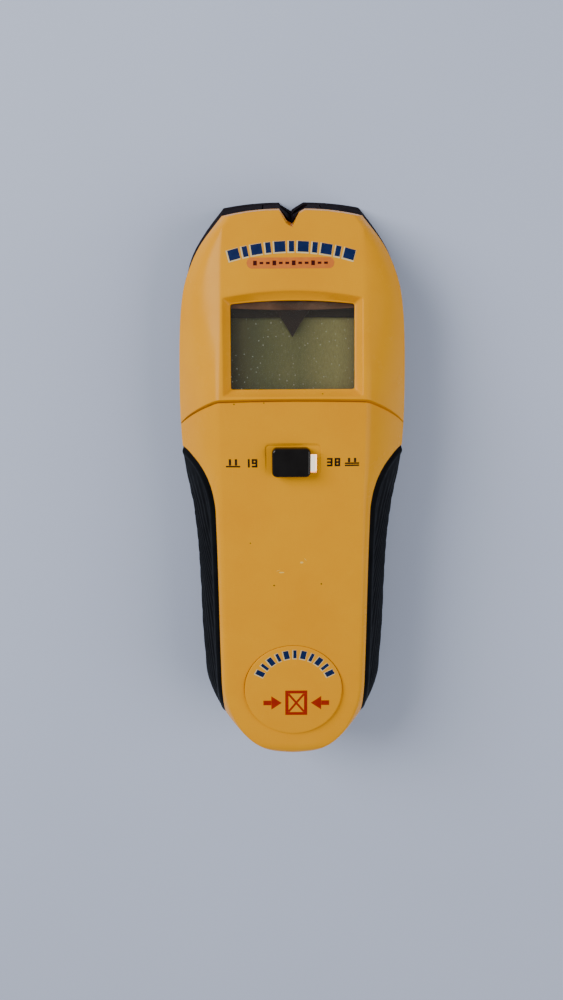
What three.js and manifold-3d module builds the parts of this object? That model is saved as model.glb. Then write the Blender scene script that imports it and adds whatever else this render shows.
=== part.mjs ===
// Handheld stud finder: a hollow two-tone case lying on its flat back, with its display, switches,
// sensing board and 9 V battery inside. Millimetres, +Z up, +Y towards the nose, +X to the right.
import * as THREE from 'three';
import { mergeVertices } from 'three/addons/utils/BufferGeometryUtils.js';
import Module from 'manifold-3d';

const wasm = await Module();
wasm.setup();

// ---------------------------------------------------------------- driving dimensions
const HALF_LENGTH = 84;          // the case runs from -84 to +84 along Y
const PARTING_Z = 18;            // black base below, yellow covers above
const GAP = 0.3;                 // clearance between touching pieces
const FLOOR = 2.2;               // base floor thickness
const COVER_WALL = 2.0;          // cover roof thickness
const HEAD_WALL = 2.2;           // side wall of the head
const HANDLE_WALL = 4.4;         // side wall of the handle, grip recess included
const GRIP_DEPTH = 2.2;          // rubber grip thickness

const SEAM_Y = 29.8;             // where the head cover meets the handle cover, on top
const SEAM_Z = 33.2;             // height of the head's crest at the seam
const SEAM_RAKE = 0.593;         // the seam runs back by this much for each millimetre down
const HEAD_SLOPE = 0.222;        // fall of the head's face towards the nose
const HANDLE_STEP = 0.9;         // the handle cover lies this much below the head cover
const HANDLE_SLOPE = 0.026;      // fall of the handle's top towards the tail
const CROWN = 0.5;               // rise of the top faces from crease to centre line
const TAIL_CENTRE_Y = -57.7;     // centre of the rounded tail
const TAIL_POWER = 2.12;         // 2 would make the tail elliptical in plan; more is fuller
const TAIL_DROP_Y = -79;         // where the top edge starts to round down at the tail
const TAIL_DROP = 3.4;

const DISPLAY_Y = 43.55;         // middle of the display window
const WINDOW_HALF = { x: 17.1, y: 11.65 };
const BEZEL_HALF = { x: 19.2, y: 13.45 };
const BEZEL_DEPTH = 2.5;           // from the face down to the window
const WINDOW_LIP = 1.2;            // how far the window reaches in under the bezel
const ARCH = { bezel: 2.0, window: 1.0 };   // rise of the display's upper edges in the middle
const PANEL = { halfX: 20, halfY: 13, depthTop: 6.0, depthBottom: 8.1 };
const FRAME_DEPTH = 6.8;           // the carrier's top edge below the face
const POINTER = { halfWidth: 5.6, height: 8.2, depth: 4.7, thickness: 0.25 };

const KNOB = { x: -0.5, y: 12.3, width: 10.8, depth: 8.2, bottom: 31.95, top: 34.9 };
const KNOB_TRAVEL = 2.0;
const SLOT = { xMin: -5.7, xMax: 6.7, yMin: 8.9, yMax: 14.2 };
const RECESS = { x: 0, halfX: 7.7, halfY: 4.6, radius: 1.0 };
const STEM = { y: 11.6, half: 1.3 };   // the knob's leg down to the switch lever

const BUTTON = { y: -2, z: 10.6, length: 15, height: 7.4 };
const BADGE = { y: -60, radius: 15, rise: 0.45, pocket: 0.4 };

const BOARD = { bottom: 9.5, top: 11.1 };
const BATTERY = { width: 26.5, length: 48.5, thickness: 17.5, yMin: -68.5, zMin: 3.0 };
const DOOR = { halfWidth: 15.5, yMin: -72, yMax: -16, thickness: 2.0, hingeZ: 1.6 };

const LENS = { halfWidth: 8, yMin: 72.8, zMin: 6.5 };
const SCREWS = [[-22.5, 60], [22.5, 60], [-20.6, -50], [20.6, -50]];
const SCREW_SINK = { radius: 2.95, depth: 2.8 };

// ---------------------------------------------------------------- small helpers
/** Smooth function of y through a few [y, value] points, by cubic Hermite pieces. */
function smoothCurve(points) {
  const sorted = [...points].sort((a, b) => a[0] - b[0]);
  const slope = (i) => {
    const before = sorted[Math.max(i - 1, 0)];
    const after = sorted[Math.min(i + 1, sorted.length - 1)];
    return (after[1] - before[1]) / (after[0] - before[0]);
  };
  return (y) => {
    const last = sorted.length - 2;
    let i = 0;
    while (i < last && y > sorted[i + 1][0]) {
      i += 1;
    }
    const [y0, v0] = sorted[i];
    const [y1, v1] = sorted[i + 1];
    const span = y1 - y0;
    if (y <= y0) {
      return v0 + slope(i) * (y - y0);
    }
    if (y >= y1) {
      return v1 + slope(i + 1) * (y - y1);
    }
    const t = (y - y0) / span;
    const a = 2 * t ** 3 - 3 * t ** 2 + 1;
    const b = t ** 3 - 2 * t ** 2 + t;
    const c = -2 * t ** 3 + 3 * t ** 2;
    const d = t ** 3 - t ** 2;
    return a * v0 + b * span * slope(i) + c * v1 + d * span * slope(i + 1);
  };
}

/** A closed three.js geometry as a manifold solid. */
function solid(geometry) {
  const bare = geometry.clone();
  bare.deleteAttribute('normal');
  bare.deleteAttribute('uv');
  const merged = mergeVertices(bare, 1e-4);
  return new wasm.Manifold(new wasm.Mesh({
    numProp: 3,
    vertProperties: new Float32Array(merged.attributes.position.array),
    triVerts: new Uint32Array(merged.index.array),
  }));
}

/** A manifold solid back as a three.js geometry. */
function geometryOf(body) {
  const mesh = body.getMesh();
  const geometry = new THREE.BufferGeometry();
  geometry.setAttribute('position', new THREE.BufferAttribute(new Float32Array(mesh.vertProperties), 3));
  geometry.setIndex(new THREE.BufferAttribute(new Uint32Array(mesh.triVerts), 1));
  return geometry;
}

function block(xMin, xMax, yMin, yMax, zMin, zMax) {
  const geometry = new THREE.BoxGeometry(xMax - xMin, yMax - yMin, zMax - zMin);
  geometry.translate((xMin + xMax) / 2, (yMin + yMax) / 2, (zMin + zMax) / 2);
  return solid(geometry);
}

/** Upright cylinder or cone between two heights. */
function post(x, y, zMin, zMax, radius, segments = 24, topRadius = radius) {
  const geometry = new THREE.CylinderGeometry(topRadius, radius, zMax - zMin, segments);
  geometry.rotateX(Math.PI / 2);
  geometry.translate(x, y, (zMin + zMax) / 2);
  return solid(geometry);
}

/** Cylinder along X between two places. */
function axle(xMin, xMax, y, z, radius, segments = 20) {
  const geometry = new THREE.CylinderGeometry(radius, radius, xMax - xMin, segments);
  geometry.rotateZ(Math.PI / 2);
  geometry.translate((xMin + xMax) / 2, y, z);
  return solid(geometry);
}

/** Cylinder along Y between two places. */
function barrelY(x, z, yMin, yMax, radius, segments = 20) {
  const geometry = new THREE.CylinderGeometry(radius, radius, yMax - yMin, segments);
  geometry.translate(x, (yMin + yMax) / 2, z);
  return solid(geometry);
}

function roundedShape(halfX, halfY, radius) {
  const shape = new THREE.Shape();
  shape.moveTo(-halfX + radius, -halfY);
  shape.lineTo(halfX - radius, -halfY);
  shape.absarc(halfX - radius, -halfY + radius, radius, -Math.PI / 2, 0, false);
  shape.lineTo(halfX, halfY - radius);
  shape.absarc(halfX - radius, halfY - radius, radius, 0, Math.PI / 2, false);
  shape.lineTo(-halfX + radius, halfY);
  shape.absarc(-halfX + radius, halfY - radius, radius, Math.PI / 2, Math.PI, false);
  shape.lineTo(-halfX, -halfY + radius);
  shape.absarc(-halfX + radius, -halfY + radius, radius, Math.PI, Math.PI * 1.5, false);
  return shape;
}

/** Flat plate with rounded corners, standing on zMin. */
function roundedPlate(x, y, halfX, halfY, radius, zMin, zMax, curveSegments = 4) {
  const geometry = new THREE.ExtrudeGeometry(roundedShape(halfX, halfY, radius), {
    depth: zMax - zMin, bevelEnabled: false, curveSegments,
  });
  geometry.translate(x, y, zMin);
  return solid(geometry);
}

/** Solid through a row of closed rings of points, each ring star-shaped about its middle. */
function loft(rings) {
  const count = rings[0].length;
  const points = rings.flat();
  const index = [];
  for (let i = 0; i < rings.length - 1; i += 1) {
    for (let j = 0; j < count; j += 1) {
      const a = i * count + j;
      const b = i * count + ((j + 1) % count);
      index.push(a, b, b + count, a, b + count, a + count);
    }
  }
  const capRing = (start, flip) => {
    const middle = new THREE.Vector3();
    for (let j = 0; j < count; j += 1) {
      middle.add(points[start + j]);
    }
    points.push(middle.divideScalar(count));
    const hub = points.length - 1;
    for (let j = 0; j < count; j += 1) {
      const a = start + j;
      const b = start + ((j + 1) % count);
      index.push(...(flip ? [hub, b, a] : [hub, a, b]));
    }
  };
  capRing(0, true);
  capRing((rings.length - 1) * count, false);
  const geometry = new THREE.BufferGeometry().setFromPoints(points);
  geometry.setIndex(index);
  return solid(geometry);
}

/** Tube of a few sides along a smooth curve through hand-placed points. */
function tube(route, radius, steps) {
  const section = new THREE.Shape();
  section.absarc(0, 0, radius, 0, Math.PI * 2, false);
  const curve = new THREE.CatmullRomCurve3(route.map((p) => new THREE.Vector3(...p)));
  const geometry = new THREE.ExtrudeGeometry(section, { steps, extrudePath: curve, curveSegments: 4 });
  return solid(geometry);
}

/** Turns a shape drawn in side view: its x and y become Y and Z, and its depth becomes X. */
const SIDEWAYS = new THREE.Matrix4().set(0, 0, 1, 0, 1, 0, 0, 0, 0, 1, 0, 0, 0, 0, 0, 1);

// ---------------------------------------------------------------- the case's outer form
/** Half-width at the widest level of the side, along the case. */
const beltHalfWidth = smoothCurve([
  [-60, 28.3], [-45, 29.0], [-30, 29.2], [-15, 29.7], [-3, 30.9], [8, 32.2], [20.7, 32.9],
  [33, 32.8], [48.4, 32.1], [58.3, 30.8], [64.75, 28.7], [71.1, 25.3], [78.4, 19.3],
]);
/** Half-width at the flat back, wider than the belt only at the flared nose. */
const backHalfWidth = smoothCurve([
  [-60, 26.6], [-45, 27.6], [-15, 28.6], [-3, 30.0], [10, 32.0], [25, 33.0], [40, 33.2],
  [52, 32.8], [62, 31.8], [69, 29.8], [75.8, 25.6], [82.6, 20.0],
]);
/** Half-width of the flat top, at the crease. */
const creaseHalfWidth = (y) => (y > SEAM_Y ? 20.8 - 0.034 * (y - SEAM_Y) : 20.8);

/** Share of the full width left in the rounded tail, for a case drawn in by inset. */
function tailShare(y, inset) {
  const reach = HALF_LENGTH + TAIL_CENTRE_Y - inset;
  const t = (TAIL_CENTRE_Y - y) / reach;
  return t <= 0 ? 1 : Math.max(1 - t ** TAIL_POWER, 0.006) ** (1 / TAIL_POWER);
}

/** How far the top edge has rounded down at the tail. */
function tailDrop(y, inset) {
  const t = Math.min(Math.max((TAIL_DROP_Y - y) / (HALF_LENGTH + TAIL_DROP_Y - inset), 0), 1);
  return TAIL_DROP * (1 - Math.sqrt(1 - t * t));
}

const headTop = (y) => SEAM_Z - HEAD_SLOPE * (y - SEAM_Y);
const handleTop = (y) => SEAM_Z - HANDLE_STEP - HANDLE_SLOPE * (SEAM_Y - y);

/** Closed cross-section at y; inset pulls the sides, top and floor inwards. */
function section(y, top, inset) {
  const side = typeof inset.side === 'function' ? inset.side(y) : inset.side;
  const share = tailShare(y, side);
  const tailY = Math.max(y, TAIL_CENTRE_Y);
  const back = (backHalfWidth(tailY) - side) * share;
  const belt = (beltHalfWidth(tailY) - side) * share;
  const crease = Math.min((creaseHalfWidth(y) - side * 0.55) * share, belt * 0.86);
  const roof = top(y) - inset.top - tailDrop(y, side);
  const beltZ = y > 12 ? 18.6 : 18.6 - Math.min((12 - y) * 0.3, 4.6);
  const creaseZ = roof - CROWN - 0.15;
  const shoulderX = crease + 0.16 * (belt - crease);
  const half = [
    [back - 0.9, inset.floor],
    [back, inset.floor + 0.9],
    [belt, beltZ],
    [crease + 0.72 * (belt - crease), beltZ + 0.42 * (creaseZ - beltZ)],
    [shoulderX, creaseZ - 0.10 * (creaseZ - beltZ)],
    [crease, creaseZ],
    [crease * 0.5, roof - CROWN * 0.3],
  ];
  const ring = half.map(([x, z]) => new THREE.Vector3(x, y, z));
  ring.push(new THREE.Vector3(0, y, roof));
  half.reverse().forEach(([x, z]) => ring.push(new THREE.Vector3(-x, y, z)));
  return ring.reverse();
}

/** Block with the nose's shape in plan, its front raked back from the wall face upwards. */
function noseForm(inset) {
  const ringAt = (z) => {
    const k = (22 - z) / 22;
    const apex = [0, 75.4 + 6.2 * k - inset * 1.3];
    const lip = [3.5 + 0.1 * k + inset * 0.45, 79.5 + 4.5 * k - inset];
    const corner = [19.2 + 0.8 * k - inset * 0.3, 77.6 + 4.9 * k - inset];
    const rightSide = [];
    for (let i = 0; i <= 4; i += 1) {
      const x = lip[0] + (corner[0] - lip[0]) * (i / 4);
      const fall = (lip[1] - corner[1]) * ((x - lip[0]) / (corner[0] - lip[0])) ** 2;
      rightSide.push([x, lip[1] - fall]);
    }
    rightSide.push([60, corner[1]], [60, -100]);
    const leftSide = rightSide.map(([x, y]) => [-x, y]);
    const outline = [apex, ...leftSide, ...rightSide.reverse()];
    return outline.map(([x, y]) => new THREE.Vector3(x, y, z));
  };
  return loft([ringAt(-5), ringAt(45)]);
}

function stationList(yMin, yMax, step) {
  const list = [];
  for (let y = yMin; y < yMax - 0.01; y += step) {
    list.push(y);
  }
  list.push(yMax);
  return list;
}

/** Stations along the rounded tail, closer together towards its tip. */
function tailStations(inset) {
  const reach = HALF_LENGTH + TAIL_CENTRE_Y - inset;
  const list = [];
  for (let i = 9; i >= 1; i -= 1) {
    list.push(TAIL_CENTRE_Y - reach * Math.sin((i / 9) * Math.PI * 0.5));
  }
  return list;
}

function handleForm(inset) {
  const side = typeof inset.side === 'function' ? inset.side(-80) : inset.side;
  const stations = [...tailStations(side), ...stationList(TAIL_CENTRE_Y, 38, 9.57)];
  return loft(stations.map((y) => section(y, handleTop, inset)));
}

function headForm(inset) {
  const body = loft(stationList(12, 84, 6).map((y) => section(y, headTop, inset)));
  return body.intersect(noseForm(typeof inset.side === 'function' ? inset.side(80) : inset.side));
}

/** Everything on the nose side of the raked seam, moved along Y by shift. */
function seamWedge(shift, noseSide) {
  const low = SEAM_Y - SEAM_RAKE * SEAM_Z + shift;
  const high = SEAM_Y + SEAM_RAKE * 10 + shift;
  const far = noseSide ? 120 : -120;
  const shape = new THREE.Shape();
  shape.moveTo(low, 0);
  shape.lineTo(high, SEAM_Z + 10);
  shape.lineTo(far, SEAM_Z + 10);
  shape.lineTo(far, 0);
  const geometry = new THREE.ExtrudeGeometry(shape, { depth: 100, bevelEnabled: false });
  geometry.translate(0, 0, -50);
  return solid(geometry.applyMatrix4(SIDEWAYS));
}

const outerInset = { side: 0, top: 0, floor: 0 };
const headOuter = headForm(outerInset);
const handleOuter = handleForm(outerInset);
const caseWall = (y) => {
  const t = Math.min(Math.max((20 - y) / 8, 0), 1);
  return HEAD_WALL + (HANDLE_WALL - HEAD_WALL) * t;
};
const cavityInset = { side: caseWall, top: COVER_WALL, floor: FLOOR };
const headCavity = headForm(cavityInset);
const handleCavity = handleForm(cavityInset);

const aboveParting = block(-60, 60, -100, 100, PARTING_Z + GAP / 2, 60);
const belowParting = block(-60, 60, -100, 100, -5, PARTING_Z - GAP / 2);

// ---------------------------------------------------------------- side grips
/** Side-view outline of a grip as a prism through +X, grown all round by a margin. */
function gripPrism(margin, mirror) {
  const shape = new THREE.Shape();
  shape.moveTo(14.2 + margin, 17.5);
  shape.bezierCurveTo(13.9 + margin, 23 + margin, 9.5 + margin, 28.2 + margin, -2, 28.6 + margin);
  shape.lineTo(-60, 27.1 + margin);
  shape.bezierCurveTo(-68 - margin, 26.8 + margin, -75.2 - margin, 22, -75.5 - margin, 15);
  shape.bezierCurveTo(-75.4 - margin, 8, -72 - margin, 4.5 - margin, -66, 4.5 - margin);
  shape.lineTo(0, 4.5 - margin);
  shape.bezierCurveTo(8 + margin, 4.5 - margin, 13.6 + margin, 9, 14.2 + margin, 17.5);
  const geometry = new THREE.ExtrudeGeometry(shape, { depth: 45, bevelEnabled: false, curveSegments: 6 });
  const prism = solid(geometry.applyMatrix4(SIDEWAYS));
  return mirror ? prism.mirror([1, 0, 0]) : prism;
}

/** Capsule prism along X around the power button's place. */
function buttonPrism(margin, xMin, xMax) {
  const half = BUTTON.height / 2 + margin;
  const shape = roundedShape(BUTTON.length / 2 + margin, half, half - 0.01);
  const geometry = new THREE.ExtrudeGeometry(shape, {
    depth: xMax - xMin, bevelEnabled: false, curveSegments: 6,
  });
  geometry.translate(BUTTON.y, BUTTON.z, xMin);
  return solid(geometry.applyMatrix4(SIDEWAYS));
}

const gripFloor = handleForm({ side: GRIP_DEPTH, top: 1.2, floor: 2 });
const pocketFloor = handleForm({ side: GRIP_DEPTH + GAP, top: 1.5, floor: 2.3 });
const buttonHole = buttonPrism(GAP, -40, -20);
const rightGrip = handleOuter.intersect(gripPrism(0, false)).subtract(gripFloor);
const leftGrip = handleOuter.intersect(gripPrism(0, true)).subtract(gripFloor).subtract(buttonHole);
const gripPockets = gripPrism(GAP, false).add(gripPrism(GAP, true)).subtract(pocketFloor);

// ---------------------------------------------------------------- display face frame
const faceAngle = -Math.atan(HEAD_SLOPE);
const faceMatrix = new THREE.Matrix4()
  .makeTranslation(0, DISPLAY_Y, headTop(DISPLAY_Y) - 0.1)
  .multiply(new THREE.Matrix4().makeRotationX(faceAngle));

/** Geometry drawn flat about the display's middle, laid on the sloping face. */
function onFace(geometry) {
  return solid(geometry.clone().applyMatrix4(faceMatrix));
}

/** Plate on the display face: half sizes, how far up its top edge arches, and depths below the face. */
function facePlate(halfX, halfY, arch, depthTop, depthBottom) {
  const shape = new THREE.Shape();
  shape.moveTo(-halfX, -halfY);
  shape.lineTo(halfX, -halfY);
  shape.lineTo(halfX, halfY);
  shape.quadraticCurveTo(0, halfY + 2 * arch, -halfX, halfY);
  const geometry = new THREE.ExtrudeGeometry(shape, {
    depth: depthBottom - depthTop, bevelEnabled: false, curveSegments: 8,
  });
  geometry.translate(0, 0, -depthBottom);
  return onFace(geometry);
}

/** Funnel of the bezel, from the outer edge on the face down to the window. */
function bezelFunnel() {
  const ringAt = (half, arch, z) => {
    const ring = [new THREE.Vector3(-half.x, -half.y, z), new THREE.Vector3(half.x, -half.y, z)];
    for (let i = 0; i <= 8; i += 1) {
      const x = half.x * (1 - i / 4);
      ring.push(new THREE.Vector3(x, half.y + arch * (1 - (x / half.x) ** 2), z));
    }
    return ring;
  };
  const grow = 1.5;   // the funnel is carried on this far above the face
  const proud = {
    x: BEZEL_HALF.x + (grow * (BEZEL_HALF.x - WINDOW_HALF.x)) / BEZEL_DEPTH,
    y: BEZEL_HALF.y + (grow * (BEZEL_HALF.y - WINDOW_HALF.y)) / BEZEL_DEPTH,
  };
  const throat = -BEZEL_DEPTH - 0.7;
  const rings = [
    ringAt(WINDOW_HALF, ARCH.window, throat),
    ringAt(WINDOW_HALF, ARCH.window, -BEZEL_DEPTH),
    ringAt(proud, ARCH.bezel, grow),
  ];
  return loft(rings.map((ring) => ring.map((p) => p.applyMatrix4(faceMatrix))));
}

// ---------------------------------------------------------------- screws and bosses
function coverBosses(indices) {
  return indices.map((i) => {
    const [x, y] = SCREWS[i];
    return post(x, y, 12, 34, 2.5, 16);
  });
}

function pilotHoles(indices) {
  return indices.map((i) => {
    const [x, y] = SCREWS[i];
    return post(x, y, 11, 22, 1.6, 12);
  });
}

/** Self-tapping screw, head down, as one turned profile with a few thread ridges. */
function screwSolid([x, y]) {
  const profile = [new THREE.Vector2(0, 0.5), new THREE.Vector2(2.5, 0.5), new THREE.Vector2(2.6, 1.5)];
  profile.push(new THREE.Vector2(1.3, 2.5));
  for (let z = 10.5; z < 19; z += 2) {
    profile.push(new THREE.Vector2(0.95, z), new THREE.Vector2(1.25, z + 1));
  }
  profile.push(new THREE.Vector2(0.9, 19.4), new THREE.Vector2(0, 20.6));
  const geometry = new THREE.LatheGeometry(profile, 10);
  geometry.rotateX(Math.PI / 2);
  geometry.translate(x, y, 0);
  const drive = block(x - 1.6, x + 1.6, y - 0.35, y + 0.35, 0, 1.3);
  const cross = block(x - 0.35, x + 0.35, y - 1.6, y + 1.6, 0, 1.3);
  return solid(geometry).subtract(drive).subtract(cross);
}

// ---------------------------------------------------------------- covers
function makeHeadCover() {
  let body = headOuter.subtract(headCavity).intersect(aboveParting);
  const collar = facePlate(BEZEL_HALF.x + 1.6, BEZEL_HALF.y + 1.6, ARCH.bezel, 1.0, 3.0);
  body = body.add(collar.intersect(headOuter));
  coverBosses([0, 1]).forEach((boss) => {
    body = body.add(boss.intersect(headForm({ side: 0.6, top: 0.6, floor: 0 })));
  });
  pilotHoles([0, 1]).forEach((hole) => {
    body = body.subtract(hole);
  });
  body = body.subtract(bezelFunnel());
  const windowSeat = WINDOW_LIP + GAP;
  body = body.subtract(facePlate(
    WINDOW_HALF.x + windowSeat, WINDOW_HALF.y + windowSeat - 0.2, ARCH.window, BEZEL_DEPTH, 8,
  ));
  return body.intersect(seamWedge(GAP / 2, true));
}

function makeHandleCover() {
  let body = handleOuter.subtract(handleCavity).intersect(aboveParting);
  body = body.subtract(gripPockets);
  coverBosses([2, 3]).forEach((boss) => {
    body = body.add(boss.intersect(handleForm({ side: 3.4, top: 0.6, floor: 0 })));
  });
  pilotHoles([2, 3]).forEach((hole) => {
    body = body.subtract(hole);
  });
  const slot = block(SLOT.xMin, SLOT.xMax, SLOT.yMin, SLOT.yMax, 20, 40);
  const recess = roundedPlate(
    RECESS.x, KNOB.y, RECESS.halfX, RECESS.halfY, RECESS.radius, KNOB.bottom - GAP, 40,
  );
  const badgeTop = handleTop(BADGE.y);
  const badgePocket = post(0, BADGE.y, badgeTop - BADGE.pocket - 0.2, 40, BADGE.radius + 0.15, 48);
  body = body.subtract(slot).subtract(recess).subtract(badgePocket);
  return body.intersect(seamWedge(-GAP / 2, false));
}

// ---------------------------------------------------------------- base
function makeBaseShell() {
  const joinedOuter = headOuter.intersect(block(-60, 60, 20, 100, -5, 60))
    .add(handleOuter.intersect(block(-60, 60, -100, 20.5, -5, 60)));
  const joinedCavity = headCavity.intersect(block(-60, 60, 19, 100, -5, 60))
    .add(handleCavity.intersect(block(-60, 60, -100, 19.5, -5, 60)));
  let body = joinedOuter.subtract(joinedCavity).intersect(belowParting).subtract(gripPockets);
  SCREWS.forEach(([x, y]) => {
    body = body.add(post(x, y, 0.5, 5.2, 4.1, 20)).add(post(x, y, 5, 11.7, 2.9, 16));
  });
  SCREWS.forEach(([x, y]) => {
    body = body.subtract(post(x, y, -1, SCREW_SINK.depth, SCREW_SINK.radius, 20));
    body = body.subtract(post(x, y, SCREW_SINK.depth - 0.1, 13, 1.65, 12));
  });
  const rib = { xIn: 16.2, xOut: 17.5, top: 15 };
  [-1, 1].forEach((sign) => {
    const [xa, xb] = sign > 0 ? [rib.xIn, rib.xOut] : [-rib.xOut, -rib.xIn];
    const wall = block(xa, xb, -68, -24, 1, rib.top);
    body = body.add(wall.intersect(handleOuter));
    const [ledgeA, ledgeB] = sign > 0 ? [25, 29] : [-29, -25];
    body = body.add(block(ledgeA, ledgeB, 30, 52, 1, BOARD.bottom - GAP));
  });
  // rest for the board at the handle end
  body = body.add(block(-20, 20, -12, -10.5, 1, BOARD.bottom - GAP));
  const doorHalf = DOOR.halfWidth + GAP;
  body = body.subtract(block(-doorHalf, doorHalf, DOOR.yMin - 1.7, DOOR.yMax + GAP, -1, FLOOR + 1.2));
  [-1, 1].forEach((sign) => {
    const [xa, xb] = sign > 0 ? [15.9, 19.4] : [-19.4, -15.9];
    body = body.add(block(xa, xb, DOOR.yMin - 2.4, DOOR.yMin + 2.4, 0.6, 4.0));
    const [pinA, pinB] = sign > 0 ? [15, 18.2] : [-18.2, -15];
    body = body.subtract(axle(pinA, pinB, DOOR.yMin, DOOR.hingeZ, 1.0, 16));
  });
  body = body.subtract(buttonHole);
  // seat of the spotlight lens in the nose
  const lensHalf = LENS.halfWidth + GAP;
  return body.subtract(block(-lensHalf, lensHalf, LENS.yMin - GAP, 90, LENS.zMin - GAP, 30));
}

function makeBatteryDoor() {
  const halfWidth = DOOR.halfWidth;
  const halfLength = (DOOR.yMax - DOOR.yMin) / 2;
  let body = roundedPlate(0, DOOR.yMin + halfLength, halfWidth, halfLength, 0.5, 0.05, DOOR.thickness, 2);
  body = body.subtract(block(-20, 20, DOOR.yMin - 5, DOOR.yMin + 0.2, -1, 5));
  body = body.add(axle(-halfWidth, halfWidth, DOOR.yMin, DOOR.hingeZ, 1.35, 16));
  body = body.add(axle(-halfWidth - 2.2, halfWidth + 2.2, DOOR.yMin, DOOR.hingeZ, 0.7, 12));
  // finger grooves near the free end, and the snap tongue above the base floor
  for (let i = 0; i < 4; i += 1) {
    const y = DOOR.yMax - 4 - i * 1.6;
    body = body.subtract(block(-7, 7, y - 0.4, y + 0.4, -1, 0.45));
  }
  body = body.add(block(-4, 4, DOOR.yMax - 2.0, DOOR.yMax - 0.8, 1, 4.8));
  return body;
}

// ---------------------------------------------------------------- nose lens and its LED
function makeNoseLens() {
  const seat = block(-LENS.halfWidth, LENS.halfWidth, LENS.yMin, 90, LENS.zMin, PARTING_Z - GAP / 2);
  return seat.intersect(headOuter).subtract(block(-9, 9, 60, 74.6, 0, 16));
}

/** Round LED with its collar, pointing out through the lens. */
function makeLed() {
  return barrelY(0, 14.4, 66, 71.5, 2.5, 20).add(barrelY(0, 14.4, 66, 67, 2.9, 20));
}

// ---------------------------------------------------------------- knob and mode switch
function makeKnob() {
  const halfX = KNOB.width / 2;
  const halfY = KNOB.depth / 2;
  let body = roundedPlate(KNOB.x, KNOB.y, halfX, halfY, 1.2, KNOB.bottom, KNOB.top - 0.5);
  body = body.add(roundedPlate(KNOB.x, KNOB.y, halfX - 0.45, halfY - 0.45, 1.0, KNOB.top - 0.6, KNOB.top));
  body = body.add(block(-1.4, 1.4, STEM.y - STEM.half, STEM.y + STEM.half, 20, KNOB.bottom + 1));
  body = body.add(block(-3, 3, STEM.y - 2.4, STEM.y + 2.4, 17.6, 20.5));
  return body.subtract(block(-1.35, 1.35, STEM.y - 1.35, STEM.y + 1.35, 16, 19.2));
}

function makeSlotPlate() {
  const roof = handleTop(KNOB.y) - COVER_WALL - 0.45;
  const plate = roundedPlate(0.4, STEM.y, 10.5, 5.4, 1.2, roof - 1.2, roof);
  const flagTop = KNOB.bottom - 2 * GAP;
  const flag = block(4.0, SLOT.xMax - GAP, SLOT.yMin + GAP, SLOT.yMax - GAP, roof - 0.5, flagTop);
  return plate.add(flag).subtract(block(-1.7, 1.7 + KNOB_TRAVEL, 10.0, 13.2, 20, 40));
}

// ---------------------------------------------------------------- power button
function makePowerButton() {
  const skin = handleForm({ side: 0.1, top: 0, floor: 0 });
  const behindWall = handleForm({ side: HANDLE_WALL + 0.4, top: 0, floor: 0 });
  const cap = buttonPrism(0, -40, -25).intersect(skin);
  const flange = buttonPrism(1.2, -40, -24.6).intersect(behindWall);
  const stem = block(-26, -24.4, BUTTON.y - 2, BUTTON.y + 2, BUTTON.z - 1.5, BUTTON.z + 3.9);
  return cap.add(flange).add(stem);
}

// ---------------------------------------------------------------- badge
function makeBadge() {
  const top = handleTop(BADGE.y);
  return post(0, BADGE.y, top - GAP, top + BADGE.rise, BADGE.radius, 48);
}

// ---------------------------------------------------------------- display pieces
function makeWindow() {
  const halfX = WINDOW_HALF.x + WINDOW_LIP;
  const halfY = WINDOW_HALF.y + WINDOW_LIP - 0.2;
  return facePlate(halfX, halfY, ARCH.window, BEZEL_DEPTH + GAP, 4.1);
}

function makePanel() {
  return facePlate(PANEL.halfX, PANEL.halfY, 0, PANEL.depthTop, PANEL.depthBottom);
}

function makeDisplayFrame() {
  const outer = facePlate(PANEL.halfX + 1.5, PANEL.halfY + 1.5, 0, FRAME_DEPTH, 30);
  const light = facePlate(PANEL.halfX - 2.5, PANEL.halfY - 1, 0, FRAME_DEPTH - 1, 30);
  const seat = facePlate(PANEL.halfX + GAP, PANEL.halfY + GAP, 0, FRAME_DEPTH - 1, PANEL.depthBottom + GAP);
  const feet = block(-60, 60, -100, 100, BOARD.top + GAP, 60);
  const exitSlot = block(-16.5, 16.5, 20, 36, BOARD.top, 18.5);
  return outer.subtract(light).subtract(seat).intersect(feet).subtract(exitSlot);
}

function makePointer() {
  const base = WINDOW_HALF.y + 0.3;
  const waist = WINDOW_HALF.y - 3.4;
  const tip = WINDOW_HALF.y - POINTER.height;
  const shape = new THREE.Shape();
  shape.moveTo(-POINTER.halfWidth, base);
  shape.quadraticCurveTo(-2.6, waist, 0, tip);
  shape.quadraticCurveTo(2.6, waist, POINTER.halfWidth, base);
  const geometry = new THREE.ExtrudeGeometry(shape, {
    depth: POINTER.thickness, bevelEnabled: false, curveSegments: 5,
  });
  geometry.translate(0, 0, -POINTER.depth);
  return onFace(geometry);
}

/** Thin strip bent from the display's underside down to the board. */
function makeRibbon() {
  const yFrom = 37.5;
  const top = headTop(yFrom) - PANEL.depthBottom - 0.95;
  const path = [
    [yFrom, top], [yFrom - 2.3, top - 0.1], [yFrom - 3.6, top - 2.2],
    [yFrom - 3.6, 14.2], [yFrom - 1.8, 12.0], [yFrom + 2, 11.6],
  ];
  const curve = new THREE.CatmullRomCurve3(path.map(([y, z]) => new THREE.Vector3(0, y, z)));
  const rings = curve.getPoints(14).map((p, i, all) => {
    const next = all[Math.min(i + 1, all.length - 1)];
    const before = all[Math.max(i - 1, 0)];
    const along = new THREE.Vector3().subVectors(next, before).normalize();
    const across = new THREE.Vector3(0, -along.z, along.y).multiplyScalar(0.12);
    const corner = (x, sign) => new THREE.Vector3(x, p.y + sign * across.y, p.z + sign * across.z);
    return [corner(-14, -1), corner(14, -1), corner(14, 1), corner(-14, 1)].reverse();
  });
  return loft(rings);
}

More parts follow.
